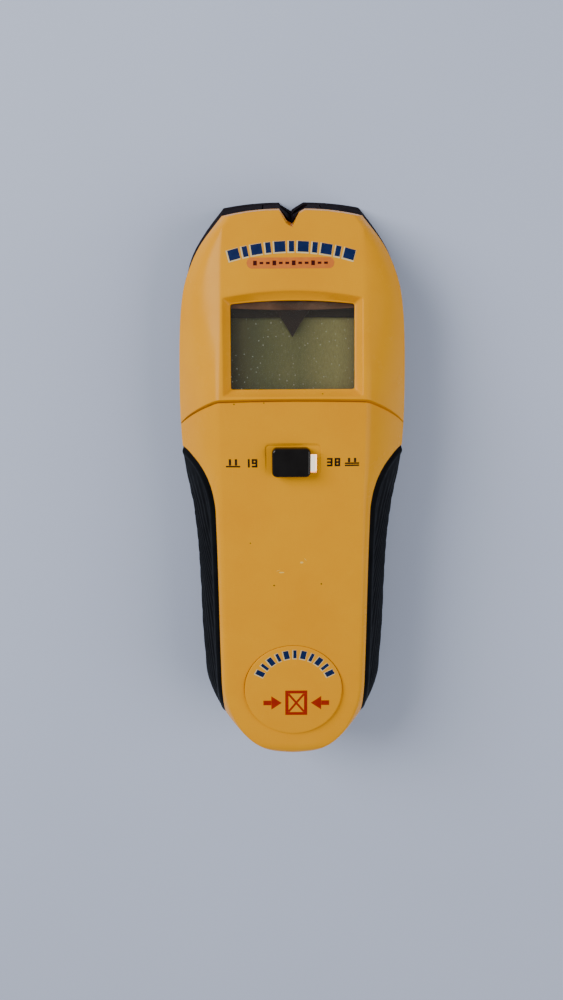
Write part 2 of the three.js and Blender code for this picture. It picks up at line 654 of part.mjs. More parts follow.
// ---------------------------------------------------------------- boards and electronics
function makeBoard() {
  const shape = new THREE.Shape();
  const right = [[20, -12.6], [21.5, 18], [26, 26], [27, 58], [24, 66], [17, 72.5]];
  shape.moveTo(...right[0]);
  right.slice(1).forEach(([x, y]) => shape.lineTo(x, y));
  [...right].reverse().forEach(([x, y]) => shape.lineTo(-x, y));
  const depth = BOARD.top - BOARD.bottom;
  const geometry = new THREE.ExtrudeGeometry(shape, { depth, bevelEnabled: false });
  geometry.translate(0, 0, BOARD.bottom);
  let body = solid(geometry);
  SCREWS.slice(0, 2).forEach(([x, y]) => {
    body = body.subtract(post(x, y, 0, 20, 3.3, 24));
  });
  return body;
}

/** Flat-pack chip with a row of leads down two or four sides. */
function chip(x, y, halfX, halfY, height, leads, fourSides) {
  const z = BOARD.top + GAP;
  let body = block(x - halfX, x + halfX, y - halfY, y + halfY, z + 0.15, z + height);
  for (let i = 0; i < leads; i += 1) {
    const along = (i + 0.5) / leads - 0.5;
    const ly = y + along * halfY * 2;
    const lx = x + along * halfX * 2;
    [-1, 1].forEach((sign) => {
      const edgeX = x + sign * (halfX + 0.45);
      const edgeY = y + sign * (halfY + 0.45);
      body = body.add(block(edgeX - 0.55, edgeX + 0.55, ly - 0.25, ly + 0.25, z, z + 0.5));
      if (fourSides) {
        body = body.add(block(lx - 0.25, lx + 0.25, edgeY - 0.55, edgeY + 0.55, z, z + 0.5));
      }
    });
  }
  return body;
}

function makeBuzzer() {
  const z = BOARD.top + GAP;
  const cup = post(8.5, -1, z, z + 7, 8, 32);
  const soundHole = post(8.5, -1, z + 4.9, z + 8, 1.2, 12);
  const hollow = post(8.5, -1, z - 1, z + 5, 6.9, 24);
  return cup.subtract(soundHole).subtract(hollow);
}

function makeBattery() {
  const { width, length, thickness, yMin, zMin } = BATTERY;
  const geometry = new THREE.ExtrudeGeometry(roundedShape(width / 2, thickness / 2, 2.2), {
    depth: length - 2.2, bevelEnabled: false, curveSegments: 4,
  });
  geometry.rotateX(Math.PI / 2);
  geometry.translate(0, yMin + length - 2.2, zMin + thickness / 2);
  return solid(geometry);
}

const batteryFace = BATTERY.yMin + BATTERY.length - 2.2;
const terminalZ = BATTERY.zMin + BATTERY.thickness / 2;
const TERMINAL_X = 6.35;
const SNAP = { gap: 2.7, thickness: 2.4 };   // moulded strap that clips over both terminals

function makeTerminal(x, radius, hollow) {
  const body = barrelY(x, terminalZ, batteryFace + GAP, batteryFace + 2.4, radius, 20);
  if (!hollow) {
    return body;
  }
  return body.subtract(barrelY(x, terminalZ, batteryFace + 1, batteryFace + 4, radius - 0.9, 16));
}

function makeSnapStrap() {
  const geometry = new THREE.ExtrudeGeometry(roundedShape(12.8, 6.2, 3), {
    depth: SNAP.thickness, bevelEnabled: false, curveSegments: 4,
  });
  geometry.rotateX(Math.PI / 2);
  geometry.translate(0, batteryFace + SNAP.gap + SNAP.thickness, terminalZ);
  return solid(geometry);
}

/** Insulated lead from the snap strap to its pad on the board. */
function makeLead(side) {
  const start = batteryFace + SNAP.gap + SNAP.thickness + GAP;
  return tube([
    [side * 9, start, terminalZ],
    [side * 9.4, start + 1.8, terminalZ + 0.4],
    [side * 11.6, start + 3.4, 14.2],
    [side * 14.6, start + 4.6, 15.4],
    [side * 17.2, start + 5.9, 15],
    [side * 18.3, start + 7.4, 13.6],
    [side * 18.5, start + 8, 12.3],
  ], 0.65, 22);
}

// ---------------------------------------------------------------- assembly
const yellow = { color: 0xe8a81e, roughness: 0.35, metalness: 0 };
const black = { color: 0x17130f, roughness: 0.5, metalness: 0 };
const rubber = { color: 0x1a1c1e, roughness: 0.85, metalness: 0 };
const copper = { color: 0xc77b45, roughness: 0.35, metalness: 1 };
const steel = { color: 0xb9bcc0, roughness: 0.35, metalness: 1 };
const epoxy = { color: 0x15161a, roughness: 0.55, metalness: 0 };
const clear = { color: 0xdfe6e2, roughness: 0.05, metalness: 0 };
const ink = { color: 0x30211a, roughness: 0.4, metalness: 0 };
const liquidCrystal = { color: 0x6f6a48, roughness: 0.25, metalness: 0 };
const amber = { color: 0xb98a3e, roughness: 0.5, metalness: 0 };
const green = { color: 0x1f5c37, roughness: 0.5, metalness: 0 };
const jet = { color: 0x141414, roughness: 0.6, metalness: 0 };
const gloss = { color: 0x0e0a07, roughness: 0.12, metalness: 0 };
const white = { color: 0xf7f0e4, roughness: 0.5, metalness: 0 };
const redPlastic = { color: 0xb41818, roughness: 0.35, metalness: 0 };
const darkRed = { color: 0x2a0b0d, roughness: 0.2, metalness: 0 };
const jacket = { color: 0x5b6066, roughness: 0.4, metalness: 0.4 };

const finder = new THREE.Group();

function place(name, body, look) {
  const mesh = new THREE.Mesh(geometryOf(body), new THREE.MeshStandardMaterial(look));
  mesh.name = name;
  finder.add(mesh);
}

place('head_cover', makeHeadCover(), yellow);
place('handle_cover', makeHandleCover(), yellow);
place('base_shell', makeBaseShell(), black);
place('battery_door', makeBatteryDoor(), black);
place('left_grip', leftGrip, rubber);
place('right_grip', rightGrip, rubber);
place('badge_disc', makeBadge(), yellow);
place('display_window', makeWindow(), clear);
place('centre_pointer', makePointer(), ink);
place('display_panel', makePanel(), liquidCrystal);
place('display_frame', makeDisplayFrame(), epoxy);
place('display_ribbon', makeRibbon(), amber);
place('main_board', makeBoard(), green);
[['left', -13], ['centre', 0], ['right', 13]].forEach(([side, x]) => {
  const plate = roundedPlate(x, 44, 5.8, 20, 1, BOARD.bottom - GAP - 0.25, BOARD.bottom - GAP, 2);
  place(`${side}_sensor_plate`, plate, copper);
});
place('microcontroller', chip(-13.2, 8, 4.5, 4.5, 1.6, 5, true), epoxy);
place('sense_amplifier', chip(-8, -7, 2, 2.5, 1.5, 4, false), epoxy);
place('piezo_buzzer', makeBuzzer(), jet);
place('spotlight_led', makeLed(), redPlastic);
place('spotlight_lens', makeNoseLens(), darkRed);
place('switch_housing', block(-7, 9, 8.4, 14.8, BOARD.top + GAP, 16), steel);
place('switch_lever', block(-1, 1, 10.6, 12.6, 16.3, 18.8), white);
place('mode_knob', makeKnob(), gloss);
place('slot_plate', makeSlotPlate(), white);
place('power_button', makePowerButton(), rubber);
place('button_plunger', axle(-24.1, -22.0, BUTTON.y, 13.2, 1.1, 16), redPlastic);
place('tact_switch', block(-21.1, -17.3, BUTTON.y - 3, BUTTON.y + 3, BOARD.top + GAP, 16.4), steel);
place('battery_case', makeBattery(), jacket);
place('positive_terminal', makeTerminal(-TERMINAL_X, 2.8, false), steel);
place('negative_terminal', makeTerminal(TERMINAL_X, 4.2, true), steel);
place('battery_snap', makeSnapStrap(), jet);
place('red_lead', makeLead(-1), redPlastic);
place('black_lead', makeLead(1), jet);
SCREWS.forEach((spot, i) => place(`case_screw_${i + 1}`, screwSolid(spot), steel));

export default finder;
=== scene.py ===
"""Looks of a handheld stud finder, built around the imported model.

Shapes are in millimetres, and MM turns them into metres. Lamps and the camera are placed in metres.
"""

import math

import bmesh
import bpy
import numpy as np
from mathutils import Matrix, Vector


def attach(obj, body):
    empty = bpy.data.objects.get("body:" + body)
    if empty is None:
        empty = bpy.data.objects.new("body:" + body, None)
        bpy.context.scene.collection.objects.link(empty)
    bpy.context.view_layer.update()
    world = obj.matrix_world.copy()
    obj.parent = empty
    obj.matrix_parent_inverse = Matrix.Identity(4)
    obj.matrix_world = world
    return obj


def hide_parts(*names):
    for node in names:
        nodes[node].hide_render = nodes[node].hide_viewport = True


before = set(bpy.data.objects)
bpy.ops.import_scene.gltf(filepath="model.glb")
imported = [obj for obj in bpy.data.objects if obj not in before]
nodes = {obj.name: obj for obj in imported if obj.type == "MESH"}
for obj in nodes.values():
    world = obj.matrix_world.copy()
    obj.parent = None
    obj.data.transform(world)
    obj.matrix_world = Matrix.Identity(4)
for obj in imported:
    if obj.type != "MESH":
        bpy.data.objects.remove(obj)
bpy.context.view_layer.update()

MM = 0.001

# ------------------------------------------------------------------ case dimensions
HALF_LENGTH = 84.0
PARTING_Z = 18.0
GAP = 0.3
FLOOR = 2.2
COVER_WALL = 2.0
HEAD_WALL = 2.2
HANDLE_WALL = 4.4
GRIP_DEPTH = 2.2

SEAM_Y = 29.8
SEAM_Z = 33.2
SEAM_RAKE = 0.593
HEAD_SLOPE = 0.222
HANDLE_STEP = 0.9
HANDLE_SLOPE = 0.026
CROWN = 0.65
TAIL_CENTRE_Y = -57.7
TAIL_POWER = 2.12
TAIL_DROP_Y = -79.0
TAIL_DROP = 3.4

DISPLAY_Y = 43.55
WINDOW_HALF = (17.1, 11.65)
BEZEL_HALF = (19.2, 13.45)
BEZEL_DEPTH = 2.5
WINDOW_ARCH, BEZEL_ARCH = 1.0, 2.0
FACE_ANGLE = -math.atan(HEAD_SLOPE)

KNOB_X, KNOB_Y = -0.5, 12.3
KNOB_HALF = (5.4, 4.1)
KNOB_BOTTOM = 31.95
KNOB_TOP = 34.9
SLOT = (-5.7, 6.7, 8.9, 14.2)
RECESS_HALF = (7.65, 4.55)

BUTTON_Y, BUTTON_Z, BUTTON_LENGTH, BUTTON_HEIGHT = -2.0, 10.6, 15.0, 7.4
GROOVE_PITCH, GROOVE_HALF, GROOVE_DEPTH = 2.2, (0.35, 2.2), 0.35
BELT_SHARE = 0.7                         # where the button's wall lies, from the back's edge to the belt
BADGE_Y, BADGE_RADIUS, BADGE_RISE = -60.0, 15.0, 0.45
DOOR_HALF_WIDTH, DOOR_Y_MIN, DOOR_Y_MAX = 15.5, -72.0, -16.0
HINGE_Z = 1.6
LABEL_Y = 45.0
SCREWS = [(-22.5, 60), (22.5, 60), (-20.6, -50), (20.6, -50)]
SCREW_SINK = (2.95, 2.8)                 # radius and depth
STEM_Y, STEM_HALF = 11.6, 1.3            # the knob's leg down to the switch lever
LENS = (8, 72.8, 6.5)                    # half width, rear edge in Y, lower edge in Z
RIDGE_HEIGHT, RIDGE_SPACING = 0.11, 2.0  # the wavy ridges moulded into the grips

# further than any part of the case, for cutting tools
SIDE, REACH = 60, 100

CAMERA_PLACE = (-0.0033, 0.0563, 0.2380)
CAMERA_LENS, CAMERA_SENSOR = 27.0, 36.0
CAMERA_TILT, CAMERA_ROLL = -15.0, -0.33
FLOOR_HALF, FLOOR_Z = 900, -0.05


def smooth_curve(points):
    """Smooth function of y through a few (y, value) points, by cubic Hermite pieces."""
    ys = [p[0] for p in points]
    vs = [p[1] for p in points]
    last = len(points) - 1

    def slope(i):
        a, b = max(i - 1, 0), min(i + 1, last)
        return (vs[b] - vs[a]) / (ys[b] - ys[a])

    def value(y):
        i = min(max(int(np.searchsorted(ys, y)) - 1, 0), last - 1)
        if y <= ys[0]:
            return vs[0] + slope(0) * (y - ys[0])
        if y >= ys[-1]:
            return vs[-1] + slope(last) * (y - ys[-1])
        span = ys[i + 1] - ys[i]
        t = (y - ys[i]) / span
        return (
            (2 * t**3 - 3 * t**2 + 1) * vs[i]
            + (t**3 - 2 * t**2 + t) * span * slope(i)
            + (-2 * t**3 + 3 * t**2) * vs[i + 1]
            + (t**3 - t**2) * span * slope(i + 1)
        )

    return value


belt_half_width = smooth_curve([
    (-60, 28.3), (-45, 29.0), (-30, 29.2), (-15, 29.7), (-3, 30.9), (8, 32.2), (20.7, 32.9),
    (33, 32.8), (48.4, 32.1), (58.3, 30.8), (64.75, 28.7), (71.1, 25.3), (78.4, 19.3),
])
back_half_width = smooth_curve([
    (-60, 26.6), (-45, 27.6), (-15, 28.6), (-3, 30.0), (10, 32.0), (25, 33.0), (40, 33.2),
    (52, 32.8), (62, 31.8), (69, 29.8), (75.8, 25.6), (82.6, 20.0),
])


def crease_half_width(y):
    return 20.8 - 0.034 * max(y - SEAM_Y, 0)


def head_top(y):
    return SEAM_Z - HEAD_SLOPE * (y - SEAM_Y)


def handle_top(y):
    return SEAM_Z - HANDLE_STEP - HANDLE_SLOPE * (SEAM_Y - y)


def crown_drop(x, y):
    """How far the top face lies below its centre line at x."""
    return CROWN * (x / crease_half_width(y)) ** 2


def head_surface(x, y):
    return head_top(y) - crown_drop(x, y)


def handle_surface(x, y):
    return handle_top(y) - crown_drop(x, y)


def badge_surface(x, y):
    return handle_top(BADGE_Y) + BADGE_RISE - 0.02


def tail_share(y, inset):
    t = (TAIL_CENTRE_Y - y) / (HALF_LENGTH + TAIL_CENTRE_Y - inset)
    return 1.0 if t <= 0 else max(1 - t**TAIL_POWER, 0.0015) ** (1 / TAIL_POWER)


def tail_drop(y, inset):
    t = min(max((TAIL_DROP_Y - y) / (HALF_LENGTH + TAIL_DROP_Y - inset), 0), 1)
    return TAIL_DROP * (1 - math.sqrt(1 - t * t))


def rounded_path(points, radii, arc_steps, leg_steps, bulges):
    """Polyline with rounded corners and, where asked, slightly swelling legs; a fixed number of points."""
    p = [np.array(q, float) for q in points]
    last = len(p) - 1
    enter, leave = {0: p[0], last: p[last]}, {0: p[0], last: p[last]}
    for i in range(1, last):
        before, after = p[i - 1] - p[i], p[i + 1] - p[i]
        len_b, len_a = np.linalg.norm(before), np.linalg.norm(after)
        enter[i] = p[i] + before / len_b * min(radii[i], 0.45 * len_b)
        leave[i] = p[i] + after / len_a * min(radii[i], 0.45 * len_a)
    path = []
    for i in range(last):
        a, b = leave[i], enter[i + 1]
        along = b - a
        normal = np.array([along[1], -along[0]]) / max(np.linalg.norm(along), 1e-9)
        for k in range(leg_steps[i] + 1):
            t = k / leg_steps[i]
            path.append(a + along * t + normal * bulges[i] * 4 * t * (1 - t))
        if i + 1 < last:
            for k in range(1, arc_steps[i + 1]):
                t = k / arc_steps[i + 1]
                path.append((1 - t) ** 2 * enter[i + 1] + 2 * t * (1 - t) * p[i + 1] + t * t * leave[i + 1])
    return path


def wall_at(side, y):
    return side(y) if callable(side) else side


def section(y, top, side, roof_inset, floor, fine=1):
    """Closed ring of points in the plane at y; side, roof_inset and floor draw it inwards."""
    pull = wall_at(side, y)
    share = tail_share(y, pull)
    tail_y = max(y, TAIL_CENTRE_Y)
    back = (back_half_width(tail_y) - pull) * share
    belt = (belt_half_width(tail_y) - pull) * share
    crease = min((crease_half_width(y) - pull * 0.55) * share, belt * 0.86)
    roof = top(y) - roof_inset - tail_drop(y, pull)
    belt_z = 18.6 if y > 12 else 18.6 - min((12 - y) * 0.3, 4.6)
    crease_z = roof - CROWN
    bulge = 0.85 * min(1.0, (belt - crease) / 8)
    corners = [(0, floor), (back, floor), (belt, belt_z), (crease, crease_z)]
    half = rounded_path(
        corners, [0, 1.0, 0.8, 0], [0, 5, 5, 0], [3, 6 * fine, 12 * fine], [0, 0, bulge]
    )
    # the crease is rounded where the facet meets the crowned top
    radius = min(0.9, 0.4 * crease)
    entry = half[-1 - max(1, fine)]
    end = np.array([crease - radius, roof - CROWN * ((crease - radius) / crease) ** 2])
    half = half[: -max(1, fine)]
    corner = np.array([crease, crease_z + 0.03])
    for k in range(1, 7):
        t = k / 6
        half.append((1 - t) ** 2 * entry + 2 * t * (1 - t) * corner + t * t * end)
    for k in range(1, 10):
        x = (crease - radius) * (1 - k / 9)
        half.append(np.array([x, roof - CROWN * (x / crease) ** 2]))
    ring = [(q[0], y, q[1]) for q in half[:-1]]
    top_middle = (0.0, y, half[-1][1])
    bottom_middle = (0.0, y, floor)
    mirrored = [(-q[0], y, q[1]) for q in reversed(half[1:-1])]
    return [bottom_middle] + ring[1:] + [top_middle] + mirrored


# ------------------------------------------------------------------ mesh helpers
def new_object(name, mesh):
    piece = bpy.data.objects.new(name, mesh)
    bpy.context.scene.collection.objects.link(piece)
    return piece


def mesh_from(name, verts_mm, faces):
    mesh = bpy.data.meshes.new(name)
    mesh.from_pydata([tuple(c * MM for c in v) for v in verts_mm], [], faces)
    work = bmesh.new()
    work.from_mesh(mesh)
    bmesh.ops.recalc_face_normals(work, faces=work.faces)
    work.to_mesh(mesh)
    work.free()
    return new_object(name, mesh)


def loft(name, rings):
    """Closed solid through a row of closed rings with equal numbers of points."""
    count = len(rings[0])
    verts = [p for ring in rings for p in ring]
    faces = []
    for i in range(len(rings) - 1):
        for j in range(count):
            k = (j + 1) % count
            faces.append((i * count + j, i * count + k, (i + 1) * count + k, (i + 1) * count + j))
    faces.append(tuple(range(count)))
    faces.append(tuple(range((len(rings) - 1) * count, len(rings) * count)))
    return mesh_from(name, verts, faces)


def prism(name, outline, axis, low, high):
    """Outline extruded along one axis: 'x' takes (y, z) points, 'z' takes (x, y) points."""
    def at(u, v, w):
        return (w, u, v) if axis == "x" else (u, v, w)
    return loft(name, [[at(u, v, w) for u, v in outline] for w in (low, high)])


def box(name, x0, x1, y0, y1, z0, z1):
    return prism(name, [(x0, y0), (x1, y0), (x1, y1), (x0, y1)], "z", z0, z1)


def ellipse(cx, cy, rx, ry, count):
    return [(cx + rx * math.cos(a), cy + ry * math.sin(a))
            for a in (2 * math.pi * i / count for i in range(count))]


def rounded_rect(cx, cy, hx, hy, radius, steps=6, arch=0.0, along=16):
    """Rounded rectangle with a fixed number of points; arch lifts its +Y edge in the middle."""
    corners = [(hx, -hy, -90), (hx, hy, 0), (-hx, hy, 90), (-hx, -hy, 180)]
    points = []
    for x, y, start in corners:
        mx, my = x - math.copysign(radius, x), y - math.copysign(radius, y)
        for k in range(steps + 1):
            a = math.radians(start + 90 * k / steps)
            points.append((mx + radius * math.cos(a), my + radius * math.sin(a)))
    dense = []
    for i, (x, y) in enumerate(points):
        nx, ny = points[(i + 1) % len(points)]
        pieces = along if i % (steps + 1) == steps else 1
        for k in range(pieces):
            t = k / pieces
            dense.append((x + (nx - x) * t, y + (ny - y) * t))
    return [(cx + x, cy + y + (arch * (1 - (x / hx) ** 2) if y > hy - radius - 1e-6 else 0))
            for x, y in dense]


def cylinder(name, x, y, z0, z1, radius, count=48):
    return prism(name, ellipse(x, y, radius, radius, count), "z", z0, z1)


def combine(piece, other, operation):
    """Boolean of two closed pieces; the other one is used up."""
    step = piece.modifiers.new("join", "BOOLEAN")
    step.operation = operation
    step.solver = "MANIFOLD"
    step.object = other
    graph = bpy.context.evaluated_depsgraph_get()
    result = bpy.data.meshes.new_from_object(piece.evaluated_get(graph))
    piece.modifiers.clear()
    old = piece.data
    piece.data = result
    bpy.data.meshes.remove(old)
    bpy.data.objects.remove(other)
    return piece


def cut(piece, *others):
    for other in others:
        combine(piece, other, "DIFFERENCE")
    return piece


def keep(piece, *others):
    for other in others:
        combine(piece, other, "INTERSECT")
    return piece


def join(piece, *others):
    for other in others:
        combine(piece, other, "UNION")
    return piece


def finish_mesh(piece, angle=32):
    """Welds tiny edges left by the cuts and shades smoothly up to an angle."""
    work = bmesh.new()
    work.from_mesh(piece.data)
    bmesh.ops.remove_doubles(work, verts=work.verts, dist=0.00001)
    bmesh.ops.dissolve_degenerate(work, edges=work.edges, dist=0.00001)
    work.to_mesh(piece.data)
    work.free()
    piece.data.polygons.foreach_set("use_smooth", [True] * len(piece.data.polygons))
    piece.data.set_sharp_from_angle(angle=math.radians(angle))
    return piece


# ------------------------------------------------------------------ forms of the case
def nose_form(name, inset=0.0):
    """Tall block with the notched outline of the nose, leaning back as it rises."""
    def ring(z):
        k = (22 - z) / 22
        apex = (0.0, 75.4 + 6.2 * k - inset * 1.3)
        lip = (3.5 + 0.1 * k + inset * 0.45, 79.5 + 4.5 * k - inset)
        corner = (19.2 + 0.8 * k - inset * 0.3, 77.6 + 4.9 * k - inset)
        right = []
        for i in range(13):
            t = i / 12
            right.append((lip[0] + (corner[0] - lip[0]) * t, lip[1] - (lip[1] - corner[1]) * t * t))
        right += [(60.0, corner[1]), (60.0, -100.0)]
        left = [(-x, y) for x, y in reversed(right)]
        return [(x, y, z) for x, y in [apex] + right + left]
    return loft(name, [ring(-5), ring(45)])


def tail_rows(inset, count):
    reach = HALF_LENGTH + TAIL_CENTRE_Y - inset
    return [TAIL_CENTRE_Y - reach * math.sin(i / count * math.pi / 2) for i in range(count, 0, -1)]


def handle_form(name, side=0.0, roof=0.0, floor=0.0, tail_count=44, step=1.0, fine=1):
    pull = wall_at(side, -80)
    rows = tail_rows(pull, tail_count) + list(np.arange(TAIL_CENTRE_Y, 38, step))
    return loft(name, [section(y, handle_top, side, roof, floor, fine) for y in rows])


def head_form(name, side=0.0, roof=0.0, floor=0.0, step=0.7):
    body = loft(name, [section(y, head_top, side, roof, floor) for y in np.arange(12, 84.3, step)])
    return keep(body, nose_form(name + "_nose", wall_at(side, 80)))


def case_wall(y):
    return HEAD_WALL + (HANDLE_WALL - HEAD_WALL) * min(max((20 - y) / 8, 0), 1)


def seam_wedge(name, shift, nose_side):
    low = SEAM_Y - SEAM_RAKE * SEAM_Z + shift
    high = SEAM_Y + SEAM_RAKE * 10 + shift
    far = 120 if nose_side else -120
    return prism(name, [(low, 0), (high, SEAM_Z + 10), (far, SEAM_Z + 10), (far, 0)], "x", -50, 50)


def bezier(a, b, c, d, steps):
    a, b, c, d = (np.array(q, float) for q in (a, b, c, d))
    return [tuple((1 - t) ** 3 * a + 3 * t * (1 - t) ** 2 * b + 3 * t * t * (1 - t) * c + t**3 * d)
            for t in (k / steps for k in range(1, steps + 1))]


def grip_outline(margin, steps=14):
    m = margin
    line = [(14.2 + m, 17.5)]
    line += bezier(line[-1], (13.9 + m, 23 + m), (9.5 + m, 28.2 + m), (-2, 28.6 + m), steps)
    line += [(-60, 27.1 + m)]
    line += bezier(line[-1], (-68 - m, 26.8 + m), (-75.2 - m, 22), (-75.5 - m, 15), steps)
    line += bezier(line[-1], (-75.4 - m, 8), (-72 - m, 4.5 - m), (-66, 4.5 - m), steps)
    line += [(0, 4.5 - m)]
    line += bezier(line[-1], (8 + m, 4.5 - m), (13.6 + m, 9), (14.2 + m, 17.5), steps)[:-1]
    return line


def grip_prism(name, margin, right):
    low, high = (0, 45) if right else (-45, 0)
    return prism(name, grip_outline(margin), "x", low, high)


def grip_pockets(name):
    pockets = join(grip_prism(name, GAP, True), grip_prism(name + "_l", GAP, False))
    return cut(pockets, handle_form(name + "_floor", GRIP_DEPTH + GAP, 1.5, 2.3))


def button_outline(margin):
    half = BUTTON_HEIGHT / 2 + margin
    return rounded_rect(BUTTON_Y, BUTTON_Z, BUTTON_LENGTH / 2 + margin, half, half - 0.01, 10)


def button_prism(name, margin, x0, x1):
    return prism(name, button_outline(margin), "x", x0, x1)


def bezel_ring(half_x, half_y, arch, radius, depth):
    """Ring around the display at a depth below the crowned face."""
    ring = []
    for x, v in rounded_rect(0, 0, half_x, half_y, radius, 5, arch):
        y = DISPLAY_Y + v * math.cos(FACE_ANGLE)
        ring.append((x, y, head_surface(x, y) - depth))
    return ring


def bezel_funnel(name):
    (window_x, window_y), (bezel_x, bezel_y) = WINDOW_HALF, BEZEL_HALF
    steps = [(0.0, 3.3), (0.0, 2.62), (0.03, 2.5), (0.10, 2.40), (0.20, 2.30), (0.88, 0.36), (0.93, 0.22),
             (0.99, 0.11), (1.08, 0.03), (1.22, 0.0), (1.4, -0.05), (2.0, -1.4)]
    rings = []
    for share, depth in steps:
        arch = WINDOW_ARCH + (BEZEL_ARCH - WINDOW_ARCH) * share
        half_x = window_x + (bezel_x - window_x) * share
        half_y = window_y + (bezel_y - window_y) * share
        rings.append(bezel_ring(half_x, half_y, arch, 0.6, depth))
    return loft(name, rings)


def face_plate(name, half_x, half_y, arch, depth_top, depth_bottom, radius=0.4):
    return loft(name, [bezel_ring(half_x, half_y, arch, radius, d) for d in (depth_bottom, depth_top)])


# ------------------------------------------------------------------ materials
def node(tree, kind, **inputs):
    made = tree.nodes.new(kind)
    for key, value in inputs.items():
        made.inputs[key].default_value = value
    return made


def ramp(tree, source, stops):
    made = tree.nodes.new("ShaderNodeValToRGB")
    elements = made.color_ramp.elements
    while len(elements) < len(stops):
        elements.new(0.5)
    for element, (place, value) in zip(elements, stops):
        element.position = place
        element.color = value if len(value) == 4 else (*value, 1)
    tree.links.new(source, made.inputs["Fac"])
    return made.outputs["Color"]


def grey(value):
    return (value, value, value, 1)


def noise(tree, coords, scale, detail=3.0, stretch=(1, 1, 1), offset=(0, 0, 0), rough=0.5):
    mapping = tree.nodes.new("ShaderNodeMapping")
    mapping.inputs["Scale"].default_value = [s * 1000 for s in stretch]
    mapping.inputs["Location"].default_value = offset
    tree.links.new(coords, mapping.inputs["Vector"])
    made = tree.nodes.new("ShaderNodeTexNoise")
    made.inputs["Scale"].default_value = scale
    made.inputs["Detail"].default_value = detail
    made.inputs["Roughness"].default_value = rough
    tree.links.new(mapping.outputs["Vector"], made.inputs["Vector"])
    return made.outputs["Fac"]


def mix_color(tree, factor, a, b):
    made = tree.nodes.new("ShaderNodeMix")
    made.data_type = "RGBA"
    if isinstance(factor, (int, float)):
        made.inputs["Factor"].default_value = factor
    else:
        tree.links.new(factor, made.inputs["Factor"])
    for socket, value in ((made.inputs[6], a), (made.inputs[7], b)):
        if isinstance(value, tuple):
            socket.default_value = value if len(value) == 4 else (*value, 1)
        else:
            tree.links.new(value, socket)
    return made.outputs[2]


def add_bump(tree, height, strength, distance, normal=None):
    made = node(tree, "ShaderNodeBump", Strength=strength, Distance=distance)
    tree.links.new(height, made.inputs["Height"])
    if normal is not None:
        tree.links.new(normal, made.inputs["Normal"])
    return made.outputs["Normal"]


def surface(name, base, tint=None, rough=(0.3, 0.42), metallic=0.0, patch=0.06, grain=6.0, grain_bump=0.05,
            scratch=0.0, specks=0.0, edge=0.0, specular=0.5, transmission=0.0):
    """Procedural finish: patchy colour, uneven gloss, fine grain; scratches, specks, soft edges if asked."""
    material = bpy.data.materials.new(name)
    material.use_nodes = True
    tree = material.node_tree
    shader = tree.nodes["Principled BSDF"]
    coords = tree.nodes.new("ShaderNodeTexCoord").outputs["Object"]
    tint = tint or tuple(c * 0.82 for c in base)
    patches = noise(tree, coords, patch, 4, rough=0.6)
    factor = ramp(tree, patches, [(0.35, grey(0)), (0.65, grey(1))])
    colour = mix_color(tree, factor, base, tint)
    gloss = noise(tree, coords, patch * 3.1, 5, offset=(7, 3, 1), rough=0.65)
    rough_value = ramp(tree, gloss, [(0.3, grey(rough[0])), (0.7, grey(rough[1]))])
    height = noise(tree, coords, grain, 2, offset=(3, 9, 4))
    if scratch:
        streaks = noise(tree, coords, 1.0, 2, stretch=(2.6, 0.10, 1.0), offset=(4, 1, 8), rough=0.7)
        marks = ramp(tree, streaks, [(0.66, grey(0)), (0.72, grey(scratch))])
        cross = noise(tree, coords, 1.0, 2, stretch=(0.12, 3.1, 1.0), offset=(1, 5, 2), rough=0.7)
        cross_marks = ramp(tree, cross, [(0.68, grey(0)), (0.74, grey(scratch * 0.8))])
        marks = mix_color(tree, 0.5, marks, cross_marks)
        rough_value = mix_color(tree, marks, rough_value, grey(min(rough[1] + 0.25, 1)))
        lighter = tuple(min(c * 1.25 + 0.02, 1) for c in base)
        colour = mix_color(tree, marks, colour, lighter)
    if specks:
        cells = tree.nodes.new("ShaderNodeTexVoronoi")
        cells.inputs["Scale"].default_value = 85.0
        tree.links.new(coords, cells.inputs["Vector"])
        dots = ramp(tree, cells.outputs["Distance"], [(0.016, grey(specks)), (0.024, grey(0))])
        colour = mix_color(tree, dots, colour, tuple(c * 0.12 for c in base))
    tree.links.new(colour, shader.inputs["Base Color"])
    tree.links.new(rough_value, shader.inputs["Roughness"])
    normal = None
    if edge:
        soft = tree.nodes.new("ShaderNodeBevel")
        soft.samples = 4
        soft.inputs["Radius"].default_value = edge * MM
        normal = soft.outputs["Normal"]
    normal = add_bump(tree, height, grain_bump, 0.1 * MM, normal)
    tree.links.new(normal, shader.inputs["Normal"])
    shader.inputs["Metallic"].default_value = metallic
    shader.inputs["Specular IOR Level"].default_value = specular
    shader.inputs["Transmission Weight"].default_value = transmission
    return material


YELLOW = surface("yellow_plastic", (0.90, 0.385, 0.0), (0.86, 0.352, 0.0), rough=(0.2, 0.3), patch=0.05,
                 grain=5.0, grain_bump=0.02, scratch=0.16, specks=0.8, edge=0.3, specular=0.12)
BLACK = surface("black_plastic", (0.0085, 0.0050, 0.0066), (0.0115, 0.0072, 0.0092), rough=(0.45, 0.6),
                patch=0.08, grain=4.0, grain_bump=0.05, scratch=0.05, edge=0.25, specular=0.002)
RUBBER = surface("grip_rubber", (0.0036, 0.0040, 0.0048), (0.006, 0.0066, 0.008), rough=(0.32, 0.46),
                 patch=0.15, grain=3.0, grain_bump=0.25, scratch=0.03, edge=0.1, specular=0.02)
# painted shade: brown standing in for the cover's inner wall in shade, seen through the window
WALL_SHADE_PAINT = surface("window_tint", (0.26, 0.125, 0.070), (0.15, 0.068, 0.04), rough=(0.2, 0.3), patch=0.12,
               specular=0.2)
# painted shadow: near-black for the shadow that the bezel's upper edge casts on the display panel
SHADE = surface("display_border", (0.028, 0.017, 0.008), (0.036, 0.022, 0.012), rough=(0.4, 0.5),
                patch=0.12, specular=0.15)
POINTER = surface("pointer_ink", (0.030, 0.015, 0.010), (0.042, 0.022, 0.014), rough=(0.3, 0.4),
                  patch=0.3, specular=0.2)
